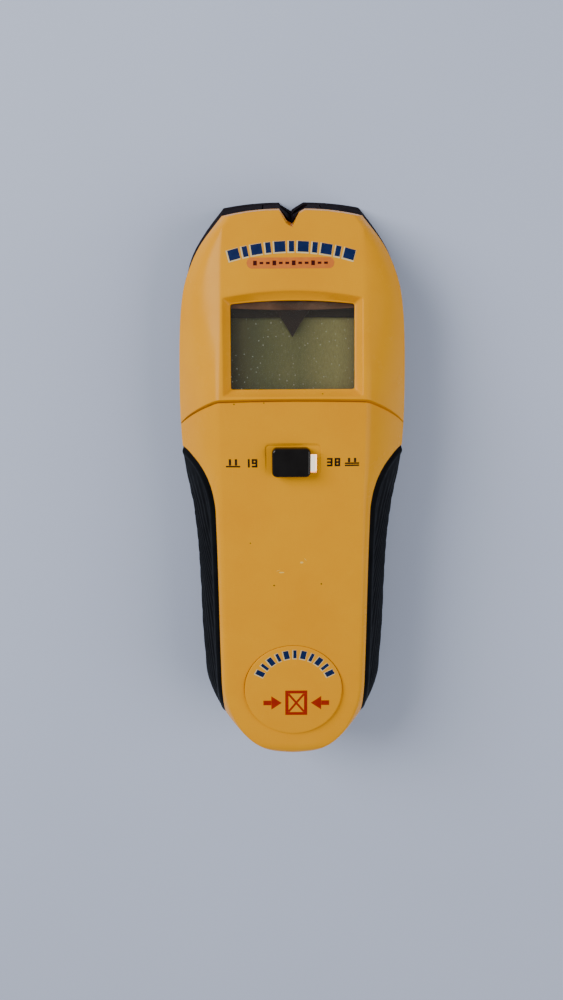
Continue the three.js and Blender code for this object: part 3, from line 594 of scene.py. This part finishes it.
KNOB_BLACK = surface("knob_black", (0.004, 0.003, 0.003), (0.007, 0.006, 0.006), rough=(0.08, 0.16),
                     patch=0.2, grain=4.0, grain_bump=0.01, scratch=0.08, specular=0.3)
GLOWING_WHITE = surface("slot_white", (0.98, 0.94, 0.86), (0.93, 0.88, 0.78), rough=(0.4, 0.55), patch=0.2,
                edge=0.1)
INK = {"rough": (0.35, 0.5), "patch": 0.5, "grain": 8, "grain_bump": 0.01, "specular": 0.12}
NAVY = surface("navy_ink", (0.005, 0.013, 0.075), (0.008, 0.019, 0.095), **INK)
PALE_INK = surface("pale_ink", (0.80, 0.66, 0.34), (0.74, 0.58, 0.26), **INK)
ORANGE_INK = surface("orange_ink", (0.72, 0.20, 0.035), (0.66, 0.175, 0.028), **INK)
RED_INK = surface("red_ink", (0.40, 0.018, 0.002), (0.33, 0.013, 0.002), **INK)
MAROON_INK = surface("maroon_ink", (0.06, 0.005, 0.005), (0.045, 0.004, 0.004), **INK)
BLACK_INK = surface("black_ink", (0.006, 0.005, 0.006), (0.012, 0.010, 0.010), **INK)
SCUFF = surface("scuff_mark", (0.92, 0.62, 0.14), (0.88, 0.56, 0.10), **INK)
LENS_RED = surface("lens_dark_red", (0.0095, 0.0042, 0.0058), (0.0125, 0.005, 0.007), rough=(0.35, 0.45),
                   patch=0.1, grain=3, grain_bump=0.01, edge=0.2, specular=0.001)
FRAME_BLACK = surface("frame_black", (0.02, 0.017, 0.015), (0.03, 0.025, 0.022), rough=(0.5, 0.7),
                      patch=0.2)
SCREW_ZINC = surface("screw_zinc", (0.55, 0.56, 0.58), (0.42, 0.42, 0.43), rough=(0.25, 0.45),
                     metallic=1.0, patch=0.6)
COPPER = surface("copper_plate", (0.75, 0.36, 0.18), (0.55, 0.22, 0.10), rough=(0.2, 0.4), metallic=1.0,
                 patch=0.2)
NICKEL = surface("terminal_nickel", (0.66, 0.64, 0.58), (0.5, 0.48, 0.42), rough=(0.15, 0.3),
                 metallic=1.0, patch=0.4)
STEEL = surface("switch_steel", (0.6, 0.61, 0.62), (0.48, 0.48, 0.49), rough=(0.25, 0.45), metallic=1.0,
                patch=0.4)
BOARD = surface("board_green", (0.012, 0.10, 0.035), (0.02, 0.15, 0.06), rough=(0.3, 0.45), patch=0.6,
                grain=2.0)
EPOXY = surface("chip_epoxy", (0.015, 0.015, 0.017), (0.03, 0.03, 0.032), rough=(0.45, 0.6), patch=0.8)
AMBER = surface("ribbon_amber", (0.42, 0.20, 0.04), (0.5, 0.28, 0.08), rough=(0.25, 0.35), patch=0.5)
LED_RED = surface("led_red", (0.5, 0.01, 0.01), (0.4, 0.01, 0.01), rough=(0.05, 0.1), patch=0.3,
                  transmission=0.6)
PLUNGER = surface("plunger_red", (0.30, 0.02, 0.02), (0.25, 0.015, 0.015), rough=(0.4, 0.5), patch=0.5)
BATTERY = surface("battery_jacket", (0.08, 0.10, 0.14), (0.11, 0.13, 0.17), rough=(0.2, 0.35),
                  metallic=0.3, patch=0.1)
VINYL_BLACK = surface("vinyl_black", (0.012, 0.012, 0.012), (0.02, 0.02, 0.02), rough=(0.35, 0.5),
                      patch=0.6)
VINYL_RED = surface("vinyl_red", (0.45, 0.015, 0.012), (0.36, 0.012, 0.01), rough=(0.35, 0.5), patch=0.6)


def glass_material():
    material = surface("window_clear", (0.93, 0.95, 0.92), (0.90, 0.93, 0.90), rough=(0.03, 0.08), patch=0.15,
                       grain=2.0, grain_bump=0.0, transmission=1.0, specular=0.3)
    material.node_tree.nodes["Principled BSDF"].inputs["IOR"].default_value = 1.46
    return material


def display_material():
    """Olive-grey liquid crystal panel: darker to the left, faint upright bands, fine speckle."""
    material = surface("display_film", (0.10, 0.095, 0.055), rough=(0.4, 0.5), patch=0.1, grain=6,
                       grain_bump=0.0, specular=0.12)
    tree = material.node_tree
    shader = tree.nodes["Principled BSDF"]
    coords = tree.nodes.new("ShaderNodeTexCoord").outputs["Object"]
    split = tree.nodes.new("ShaderNodeSeparateXYZ")
    tree.links.new(coords, split.inputs[0])
    spread = node(tree, "ShaderNodeMapRange", **{"From Min": -0.018, "From Max": 0.018})
    tree.links.new(split.outputs["X"], spread.inputs["Value"])
    bands = ramp(tree, spread.outputs["Result"], [
        (0.0, (0.115, 0.096, 0.040)), (0.12, (0.150, 0.132, 0.056)), (0.2, (0.155, 0.152, 0.070)),
        (0.45, (0.265, 0.243, 0.100)), (0.55, (0.250, 0.230, 0.096)), (0.85, (0.47, 0.405, 0.160)),
        (1.0, (0.40, 0.335, 0.135))])
    speckle = noise(tree, coords, 3.0, 2, stretch=(1, 0.25, 1))
    shade = ramp(tree, speckle, [(0.3, grey(0.25)), (0.7, grey(0.0))])
    colour = mix_color(tree, shade, bands, (0.05, 0.046, 0.03))
    dust = tree.nodes.new("ShaderNodeTexVoronoi")
    dust.voronoi_dimensions = "2D"
    dust.inputs["Scale"].default_value = 430.0
    tree.links.new(coords, dust.inputs["Vector"])
    flecks = ramp(tree, dust.outputs["Distance"], [(0.045, grey(1)), (0.075, grey(0))])
    faint = ramp(tree, noise(tree, coords, 0.9, 1, offset=(5, 2, 0)), [(0.4, grey(0)), (0.62, grey(1))])
    flecks = mix_color(tree, faint, grey(0), flecks)
    colour = mix_color(tree, flecks, colour, (0.80, 0.78, 0.62))
    tree.links.new(colour, shader.inputs["Base Color"])
    return material


GLASS = glass_material()
DISPLAY = display_material()


def paint_glow(material, colour, strength):
    """Painted light: the material glows, so that the white plate stays as bright beside the knob, in the
    knob's shade, as it should look.
    """
    shader = material.node_tree.nodes["Principled BSDF"]
    shader.inputs["Emission Color"].default_value = (*colour, 1)
    shader.inputs["Emission Strength"].default_value = strength


# painted light: the white slot plate and switch lever glow a little
paint_glow(GLOWING_WHITE, (1.0, 0.86, 0.66), 1.3)


def dress(piece, material):
    piece.data.materials.clear()
    piece.data.materials.append(material)
    return piece


def settle(piece, material, body="case", replaces=None):
    """Material, slot, body and the CAD node a piece stands for."""
    dress(piece, material)
    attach(piece, body)
    if replaces:
        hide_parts(replaces)
    return piece


# ------------------------------------------------------------------ camera, light and floor
def add_camera():
    data = bpy.data.cameras.new("camera")
    data.lens, data.sensor_width = CAMERA_LENS, CAMERA_SENSOR
    camera = bpy.data.objects.new("camera", data)
    camera.location = CAMERA_PLACE
    tilt = Matrix.Rotation(math.radians(CAMERA_TILT), 4, "X")
    roll = Matrix.Rotation(math.radians(CAMERA_ROLL), 4, "Z")
    camera.rotation_euler = (tilt @ roll).to_euler()
    bpy.context.scene.collection.objects.link(camera)
    bpy.context.scene.camera = camera


def add_area(name, place, size, power, colour, target=(0, 0, 0.015)):
    data = bpy.data.lights.new(name, "AREA")
    data.size = size
    data.energy = power
    data.color = colour
    light = bpy.data.objects.new(name, data)
    light.location = place
    light.rotation_euler = (Vector(target) - Vector(place)).to_track_quat("-Z", "Y").to_euler()
    bpy.context.scene.collection.objects.link(light)


def add_stage():
    corners = [(x * FLOOR_HALF, y * FLOOR_HALF, FLOOR_Z) for x, y in ((-1, -1), (1, -1), (1, 1), (-1, 1))]
    floor = mesh_from("floor", corners, [(0, 1, 2, 3)])
    dress(floor, surface("floor_paint", (0.58, 0.655, 0.86), (0.56, 0.635, 0.835), rough=(0.7, 0.85),
                         patch=0.004, grain=1.0, grain_bump=0.02))
    world = bpy.data.worlds.new("studio")
    world.use_nodes = True
    world.node_tree.nodes["Background"].inputs["Color"].default_value = (0.95, 0.97, 1.0, 1)
    world.node_tree.nodes["Background"].inputs["Strength"].default_value = 0.30
    bpy.context.scene.world = world
    add_area("key", (-0.75, 0.45, 0.62), 0.6, 10.5, (1.0, 0.98, 0.95))
    add_area("fill", (0.75, -0.1, 0.6), 0.8, 4.6, (1.0, 0.98, 0.96))


add_camera()
add_stage()

# ------------------------------------------------------------------ covers
def cavity(name, form, roof=COVER_WALL):
    return form(name, case_wall, roof, FLOOR)


def build_head_cover():
    body = head_form("head_cover_skin")
    below = box("below", -SIDE, SIDE, -REACH, REACH, -9, PARTING_Z + GAP / 2)
    cut(body, cavity("head_hollow", head_form), below)
    collar = face_plate("collar", BEZEL_HALF[0] + 1.4, BEZEL_HALF[1] + 1.4, BEZEL_ARCH, 0.9, 3.2)
    keep(collar, head_form("collar_skin"))
    join(body, collar)
    cut(body, bezel_funnel("funnel"))
    cut(body, face_plate("pocket", WINDOW_HALF[0] + 1.3, WINDOW_HALF[1] + 1.1, WINDOW_ARCH, 2.62, 8))
    keep(body, seam_wedge("nose_side", GAP / 2, True))
    return settle(finish_mesh(body), YELLOW, replaces="head_cover")


def build_handle_cover():
    body = handle_form("handle_cover_skin")
    below = box("below", -SIDE, SIDE, -REACH, REACH, -9, PARTING_Z + GAP / 2)
    cut(body, cavity("handle_hollow", handle_form), below)
    cut(body, grip_pockets("pockets"))
    cut(body, box("slot", *SLOT, 20, 40))
    floor_z, lip_z = KNOB_BOTTOM - GAP, handle_top(KNOB_Y)
    rim = [(0, floor_z), (0.03, lip_z - 0.14), (0.09, lip_z - 0.06), (0.2, lip_z - 0.01), (0.5, lip_z + 0.04),
           (1.6, 36)]
    half_x, half_y = RECESS_HALF
    recess = [[(x, y, z) for x, y in rounded_rect(0, KNOB_Y, half_x + grow, half_y + grow, 1.0)]
              for grow, z in rim]
    cut(body, loft("recess", recess))
    badge_z = handle_top(BADGE_Y)
    cut(body, cylinder("badge_seat", 0, BADGE_Y, badge_z - 0.6, 40, BADGE_RADIUS + 0.12, 120))
    keep(body, seam_wedge("tail_side", -GAP / 2, False))
    return settle(finish_mesh(body), YELLOW, replaces="handle_cover")


def build_base():
    head = keep(head_form("base_skin"), box("front", -SIDE, SIDE, 20, REACH, -5, 60))
    rear = keep(handle_form("rear"), box("back", -SIDE, SIDE, -REACH, 20.5, -5, 60))
    body = keep(join(head, rear), box("low", -SIDE, SIDE, -REACH, REACH, -5, PARTING_Z - GAP / 2))
    hollow_front = keep(cavity("hollow_front", head_form), box("front", -SIDE, SIDE, 19, REACH, -5, 60))
    hollow_rear = keep(cavity("hollow_rear", handle_form), box("back", -SIDE, SIDE, -REACH, 19.5, -5, 60))
    cut(body, join(hollow_front, hollow_rear), grip_pockets("pockets"))
    sink_radius, sink_depth = SCREW_SINK
    for x, y in SCREWS:
        join(body, cylinder("tube", x, y, 0.5, 5.2, 4.1))
        cut(body, cylinder("sink", x, y, -1, sink_depth, sink_radius), cylinder("hole", x, y, 2.7, 13, 1.65))
    half_door = DOOR_HALF_WIDTH + GAP
    cut(body, box("doorway", -half_door, half_door, DOOR_Y_MIN - 1.7, DOOR_Y_MAX + GAP, -1, 3.4))
    for sign in (-1, 1):
        left, right = sorted((sign * 15.9, sign * 19.4))
        join(body, box("lug", left, right, DOOR_Y_MIN - 2.4, DOOR_Y_MIN + 2.4, 0.6, 4.0))
        left, right = sorted((sign * 15.0, sign * 18.2))
        cut(body, prism("pin_hole", ellipse(DOOR_Y_MIN, HINGE_Z, 1.0, 1.0, 24), "x", left, right))
    half, rear, low = LENS
    lens_seat = box("lens_seat", -half - GAP, half + GAP, rear - GAP, 90, low - GAP, 30)
    cut(body, button_prism("button_hole", GAP, -40, -20), lens_seat)
    # a shallow plain label field and a thumb notch for the door
    steps = [(18.3, 10.3, -1), (18.0, 10.0, 0.0), (17.8, 9.8, 0.35)]
    label = loft("label", [[(x, y, z) for x, y in rounded_rect(0, LABEL_Y, half_x, half_y, 2.0)]
                           for half_x, half_y, z in steps])
    cut(body, label)
    steps = [(7.0, 4.2, -0.6), (6.4, 3.6, 0.2), (5.0, 2.6, 0.8), (3.0, 1.4, 1.1)]
    notch = loft("notch", [[(x, y, z) for x, y in ellipse(0, DOOR_Y_MAX + 2.2, half_x, half_y, 40)]
                           for half_x, half_y, z in steps])
    cut(body, notch)
    return settle(finish_mesh(body), BLACK, replaces="base_shell")


def build_badge():
    z = handle_top(BADGE_Y)
    rim = [(14.6, -0.45), (15.0, -0.1), (15.0, 0.18), (14.93, 0.32), (14.75, 0.42), (14.5, 0.45), (8.0, 0.45)]
    rings = [[(x, y, z + rise) for x, y in ellipse(0, BADGE_Y, radius, radius, 120)] for radius, rise in rim]
    return settle(finish_mesh(loft("badge_plate", rings)), YELLOW, replaces="badge_disc")


# ------------------------------------------------------------------ grips
def outline_distance(ys, zs, outline):
    """Distance from each point to the closed outline."""
    points = np.stack([ys, zs], axis=1)
    best = np.full(len(points), 1e9)
    for i, a in enumerate(outline):
        a = np.array(a)
        b = np.array(outline[(i + 1) % len(outline)])
        along = b - a
        t = np.clip(((points - a) @ along) / (along @ along), 0, 1)
        best = np.minimum(best, np.linalg.norm(points - (a + t[:, None] * along), axis=1))
    return best


def ridge_height(ys, zs):
    """Ridges like wood grain that swing up and down along the handle and fade out at its front."""
    drift = 3.4 * np.sin((ys + 24) / 15.0) + 0.9 * np.sin(ys / 6.3 + zs / 7.0) + 0.20 * (ys + 30)
    wave = np.sin(2 * math.pi * (zs + drift) / RIDGE_SPACING)
    fade = np.clip((9 - ys) / 10, 0, 1)
    return RIDGE_HEIGHT * fade * wave


def build_grip(name, right):
    rows = list(np.arange(-77.5, 16.5, 0.55))
    body = loft(name, [section(y, handle_top, 0, 0, 0, 5) for y in rows])
    mesh = body.data
    co = np.zeros(len(mesh.vertices) * 3)
    normals = np.zeros(len(mesh.vertices) * 3)
    mesh.vertices.foreach_get("co", co)
    mesh.vertices.foreach_get("normal", normals)
    co, normals = co.reshape(-1, 3) / MM, normals.reshape(-1, 3)
    away = outline_distance(co[:, 1], co[:, 2], grip_outline(0))
    rim = np.clip(away / 1.1, 0, 1)
    lip = 0.30 * np.exp(-((away - 1.6) / 0.8) ** 2)
    ridges = ridge_height(co[:, 1], co[:, 2]) * np.clip((away - 2.2) / 1.5, 0, 1)
    lift = -0.55 * (1 - np.sqrt(1 - (1 - rim) ** 2)) + lip + ridges
    lift = np.where(np.abs(co[:, 0]) > 12, lift - 0.03, 0)
    co += normals * lift[:, None]
    mesh.vertices.foreach_set("co", (co * MM).ravel())
    mesh.update()
    keep(body, grip_prism(name + "_edge", 0, right))
    cut(body, handle_form(name + "_floor", GRIP_DEPTH, 1.2, 2))
    if not right:
        cut(body, button_prism("hole", GAP, -40, -20))
    node_name = "right_grip" if right else "left_grip"
    return settle(finish_mesh(body, 50), RUBBER, replaces=node_name)


def build_power_button():
    cap = keep(button_prism("power_button_cap", 0, -40, -25), handle_form("tmp", 0.1))
    flange = keep(button_prism("flange", 1.2, -40, -24.6), handle_form("tmp", HANDLE_WALL + 0.4))
    join(cap, flange, box("stem", -26, -24.4, BUTTON_Y - 2, BUTTON_Y + 2, BUTTON_Z - 1.5, BUTTON_Z + 3.9))
    for k in range(-2, 3):
        y = BUTTON_Y + k * GROOVE_PITCH
        skin = (1 - BELT_SHARE) * back_half_width(y) + BELT_SHARE * belt_half_width(y)
        groove = rounded_rect(y, BUTTON_Z, *GROOVE_HALF, 0.3)
        cut(cap, prism("groove", groove, "x", -40, GROOVE_DEPTH - skin))
    return settle(finish_mesh(cap), RUBBER, "power_key", "power_button")


# ------------------------------------------------------------------ knob, slot plate, lens, display
def build_knob():
    steps = [(-0.5, KNOB_BOTTOM), (0, KNOB_BOTTOM + 0.3), (0, KNOB_TOP - 0.9), (-0.08, KNOB_TOP - 0.5),
             (-0.28, KNOB_TOP - 0.2), (-0.6, KNOB_TOP - 0.03), (-0.9, KNOB_TOP), (-1.3, KNOB_TOP - 0.06),
             (-2.0, KNOB_TOP - 0.22)]
    rings = []
    for grow, z in steps:
        half_x, half_y, radius = KNOB_HALF[0] + grow, KNOB_HALF[1] + grow, max(1.4 + grow, 0.25)
        rings.append([(x, y, z) for x, y in rounded_rect(KNOB_X, KNOB_Y, half_x, half_y, radius, 8)])
    body = loft("mode_knob_cap", rings)
    join(body, box("stem", -1.4, 1.4, STEM_Y - STEM_HALF, STEM_Y + STEM_HALF, 20, KNOB_BOTTOM + 1))
    fork = box("fork", -3, 3, STEM_Y - 2.4, STEM_Y + 2.4, 17.6, 20.5)
    join(body, cut(fork, box("gap", -1.35, 1.35, STEM_Y - 1.35, STEM_Y + 1.35, 16, 19.2)))
    return settle(finish_mesh(body, 40), KNOB_BLACK, "mode_slider", "mode_knob")


def build_lens():
    half, rear, low = LENS
    seat = box("nose_lens", -half, half, rear, 90, low, PARTING_Z - GAP / 2)
    keep(seat, head_form("tmp"))
    cut(seat, box("led_room", -9, 9, 60, 74.6, 0, 16))
    return settle(finish_mesh(seat), LENS_RED, replaces="spotlight_lens")


def build_window():
    half_x, half_y = WINDOW_HALF[0] + 1.1, WINDOW_HALF[1] + 0.9
    plate = face_plate("display_glass", half_x, half_y, WINDOW_ARCH, BEZEL_DEPTH + GAP, 4.0, 0.5)
    return settle(finish_mesh(plate), GLASS, replaces="display_window")


def build_display_painted_shade():
    """Painted shade inside, along the window's upper edge: a brown strip standing in for the cover's shaded
    inner wall seen through the glass, and a dark band that is the painted shadow of the bezel's upper edge on
    the panel.
    """
    def band(name, low, depth, sag):
        top = WINDOW_HALF[1] + 0.6
        ring = []
        for k in range(25):
            x = -WINDOW_HALF[0] - 0.6 + k * (2 * WINDOW_HALF[0] + 1.2) / 24
            ring.append((x, low + sag * (1 - (x / WINDOW_HALF[0]) ** 2)))
        ring += [(x, top + WINDOW_ARCH * (1 - (x / WINDOW_HALF[0]) ** 2)) for x, _ in reversed(ring)]

        def lay(d):
            rows = []
            for x, v in ring:
                y = DISPLAY_Y + v * math.cos(FACE_ANGLE)
                rows.append((x, y, head_surface(0, y) - d))
            return rows
        return loft(name, [lay(depth + 0.08), lay(depth)])

    # painted shade: the cover's inner wall in shade, seen through the glass
    strip = band("window_tint", WINDOW_HALF[1] - 1.15, 4.32, -0.5)
    settle(strip, WALL_SHADE_PAINT)
    # painted shadow: the bezel's upper edge shading the display panel
    shade = band("display_border", WINDOW_HALF[1] - 3.9, 5.4, 0.1)
    settle(shade, SHADE)


# ------------------------------------------------------------------ printed marks
def skin_slab(name, box_mm, height, lift, thick, step=0.6):
    """Thin closed sheet lying on a surface given as a height function."""
    x0, x1, y0, y1 = box_mm
    xs = np.linspace(x0, x1, max(2, int((x1 - x0) / step)))
    rings = []
    for y in np.linspace(y0, y1, max(2, int((y1 - y0) / step))):
        low = [(x, y, height(x, y) + lift) for x in xs]
        rings.append(low + [(x, y, z + thick) for x, y, z in reversed(low)])
    return loft(name, rings)


def stamp(name, loops):
    """Upright prisms on one or more closed outlines, as one mesh."""
    verts, faces = [], []
    for loop in loops:
        start, count = len(verts), len(loop)
        verts += [(x, y, 0.0) for x, y in loop] + [(x, y, 50.0) for x, y in loop]
        faces.append(tuple(start + i for i in range(count)))
        faces.append(tuple(start + count + i for i in range(count)))
        for i in range(count):
            j = (i + 1) % count
            faces.append((start + i, start + j, start + count + j, start + count + i))
    return mesh_from(name + "_stamp", verts, faces)


def print_on(name, cutter, height, material, lift=0.02, thick=0.03):
    """Print following the surface inside an upright cutter."""
    corners = [v.co / MM for v in cutter.data.vertices]
    xs, ys = [c.x for c in corners], [c.y for c in corners]
    area = (min(xs) - 0.5, max(xs) + 0.5, min(ys) - 0.5, max(ys) + 0.5)
    mark = keep(skin_slab(name, area, height, lift, thick), cutter)
    return settle(mark, material)


def print_mark(name, loops, height, material, lift=0.02, thick=0.03):
    return print_on(name, stamp(name, loops), height, material, lift, thick)


def bar(cx, cy, half_w, half_h, angle=0.0):
    c, s = math.cos(angle), math.sin(angle)
    return [(cx + x * c - y * s, cy + x * s + y * c)
            for x, y in ((-half_w, -half_h), (half_w, -half_h), (half_w, half_h), (-half_w, half_h))]


def arc_bars(centre, radius, angles, half_w, half_h):
    loops = []
    for i, a in enumerate(angles):
        w = half_w[i % len(half_w)]
        loops.append(bar(centre[0] + radius * math.sin(a), centre[1] + radius * math.cos(a), w, half_h, -a))
    return loops


# strokes of each numeral: a top, g middle, d bottom, b right, f upper left, e lower left
SEGMENTS = {"1": "b", "9": "abdfg", "3": "abdg", "8": "abdefg"}


def numeral_bars(number, x, y, width=1.55, height=2.4, stroke=0.5, pitch=2.15):
    """Plain numerals from straight strokes: the level strokes and the upright strokes."""
    level, upright = [], []
    half_w, half_h, half_s = width / 2, height / 2, stroke / 2
    for i, digit in enumerate(number):
        cx = x + (i - (len(number) - 1) / 2) * pitch
        parts = SEGMENTS[digit]
        if "a" in parts:
            level.append(bar(cx, y + half_h - half_s, half_w, half_s))
        if "d" in parts:
            level.append(bar(cx, y - half_h + half_s, half_w, half_s))
        if "g" in parts:
            level.append(bar(cx, y, half_w, half_s))
        if "b" in parts:
            upright.append(bar(cx + half_w - half_s, y, half_s, half_h))
        if "e" in parts and "f" in parts:
            upright.append(bar(cx - half_w + half_s, y, half_s, half_h))
        elif "f" in parts:
            upright.append(bar(cx - half_w + half_s, y + half_h / 2, half_s, half_h / 2))
    return level, upright


def wall_icon(x, y, layers):
    """Stud in section behind one or two wall boards: the boards and the stud's two flanges."""
    boards = [bar(x, y - 1.0 + 0.62 * k, 2.0, 0.21) for k in range(layers)]
    foot, head = y - 0.75 + 0.62 * (layers - 1), y + 1.2
    flanges = [bar(x + side, (foot + head) / 2, 0.3, (head - foot) / 2 - 0.06) for side in (-0.85, 0.85)]
    return boards + flanges


def print_label(name, number, x, icon_x, y, layers):
    level, upright = numeral_bars(number, x, y)
    print_mark(name + "_icon", wall_icon(icon_x, y, layers), handle_surface, BLACK_INK)
    print_mark(name + "_level", level, handle_surface, BLACK_INK)
    print_mark(name + "_upright", upright, handle_surface, BLACK_INK, 0.025, 0.03)


def build_prints():
    arc_centre, arc_radius = (-0.2, 9.1), 61.0
    angles = [math.radians(a) for a in np.linspace(-14.9, 14.9, 11)]
    widths = [1.5, 0.72]
    edge_bars = arc_bars((-0.35, 8.95), arc_radius, angles, [w + 0.22 for w in widths], 1.62)
    print_mark("head_bars_edge", edge_bars, head_surface, PALE_INK, 0.01, 0.02)
    print_mark("head_bars", arc_bars(arc_centre, arc_radius, angles, widths, 1.4), head_surface, NAVY,
               0.035, 0.02)
    pill = rounded_rect(-0.5, 65.75, 11.9, 1.45, 1.44, 8)
    print_mark("head_pill", [pill], head_surface, ORANGE_INK, 0.01, 0.02)
    dashes = [bar(-0.5 + (k - 5.5) * 1.75, 65.75, 0.5, 0.3 if k % 3 else 0.62) for k in range(12)]
    print_mark("pill_dashes", dashes, head_surface, MAROON_INK, 0.035, 0.02)
    print_label("left_label", "19", -11.9, -16.9, 11.75, 1)
    print_label("right_label", "38", 11.4, 16.6, 11.95, 2)
    # badge: an arc of graduation blocks over a stud drawn in section between two arrows
    angles = [math.radians(a) for a in np.linspace(-62, 62, 11)]
    centre = (0.5, BADGE_Y + 0.2)
    edge_ticks = arc_bars((centre[0] - 0.1, centre[1] - 0.1), 12.0, angles, [1.02, 0.68], 1.55)
    print_mark("badge_ticks_edge", edge_ticks, badge_surface, PALE_INK, 0.01, 0.015)
    print_mark("badge_ticks", arc_bars(centre, 12.0, angles, [0.82, 0.5], 1.35), badge_surface, NAVY,
               0.025, 0.02)
    cx, cy, hw, hh, line = 0.9, BADGE_Y - 4.2, 2.9, 3.7, 0.5
    stud = [bar(cx, cy + hh, hw + line, line), bar(cx, cy - hh, hw + line, line),
            bar(cx - hw, cy, line, hh - line), bar(cx + hw, cy, line, hh - line)]
    print_mark("badge_stud", stud, badge_surface, RED_INK, 0.02, 0.02)
    diagonal = math.atan2(hh, hw)
    reach = math.hypot(hw, hh) - 0.85
    for name, angle, lift in (("badge_stud_cross", diagonal, 0.035), ("badge_stud_cross_2", -diagonal, 0.05)):
        print_mark(name, [bar(cx, cy, reach, 0.32, angle)], badge_surface, RED_INK, lift, 0.02)
    arrows = []
    for sign in (-1, 1):
        tip = cx + sign * 4.5
        arrows.append([(tip, cy), (tip + sign * 3.2, cy + 2.3), (tip + sign * 3.2, cy - 2.3)][::sign])
        arrows.append(bar(tip + sign * 4.45, cy, 1.2, 0.8))
    print_mark("badge_arrows", arrows, badge_surface, RED_INK, 0.02, 0.02)


def build_wear():
    """Three dark specks and a few pale scuffs on top of the handle."""
    dots = [ellipse(-5.6, -25.3, 0.24, 0.2, 10), ellipse(8.3, -24.9, 0.2, 0.24, 10),
            ellipse(-12.4, -12.1, 0.2, 0.14, 10)]
    print_mark("dark_specks", dots, handle_surface, BLACK_INK, 0.005, 0.015)
    scuffs = [ellipse(-3.4, -21.2, 0.8, 0.22, 16), ellipse(2.5, -18.1, 0.5, 0.3, 16),
              bar(-4.4, -20.6, 0.6, 0.06, 0.4), bar(3.6, -17.2, 0.5, 0.06, -0.9)]
    print_mark("pale_scuffs", scuffs, handle_surface, SCUFF, 0.005, 0.015)


# ------------------------------------------------------------------ build everything
build_head_cover()
build_handle_cover()
build_base()
build_badge()
build_grip("left_grip_skin", False)
build_grip("right_grip_skin", True)
build_power_button()
build_knob()
build_lens()
build_window()
build_display_painted_shade()
build_prints()
build_wear()

# CAD nodes that keep their own mesh, by material
CARRIED = [
    (BLACK, ["battery_door"]),
    (POINTER, ["centre_pointer"]),
    (DISPLAY, ["display_panel"]),
    (FRAME_BLACK, ["display_frame"]),
    (AMBER, ["display_ribbon"]),
    (BOARD, ["main_board"]),
    (COPPER, ["left_sensor_plate", "centre_sensor_plate", "right_sensor_plate"]),
    (EPOXY, ["microcontroller", "sense_amplifier"]),
    (VINYL_BLACK, ["piezo_buzzer", "battery_snap", "black_lead"]),
    (VINYL_RED, ["red_lead"]),
    (LED_RED, ["spotlight_led"]),
    (STEEL, ["switch_housing", "tact_switch"]),
    (GLOWING_WHITE, ["switch_lever", "slot_plate"]),
    (PLUNGER, ["button_plunger"]),
    (BATTERY, ["battery_case"]),
    (NICKEL, ["positive_terminal", "negative_terminal"]),
    (SCREW_ZINC, [f"case_screw_{k}" for k in range(1, 5)]),
]
for material, names in CARRIED:
    for name in names:
        dress(nodes[name], material)
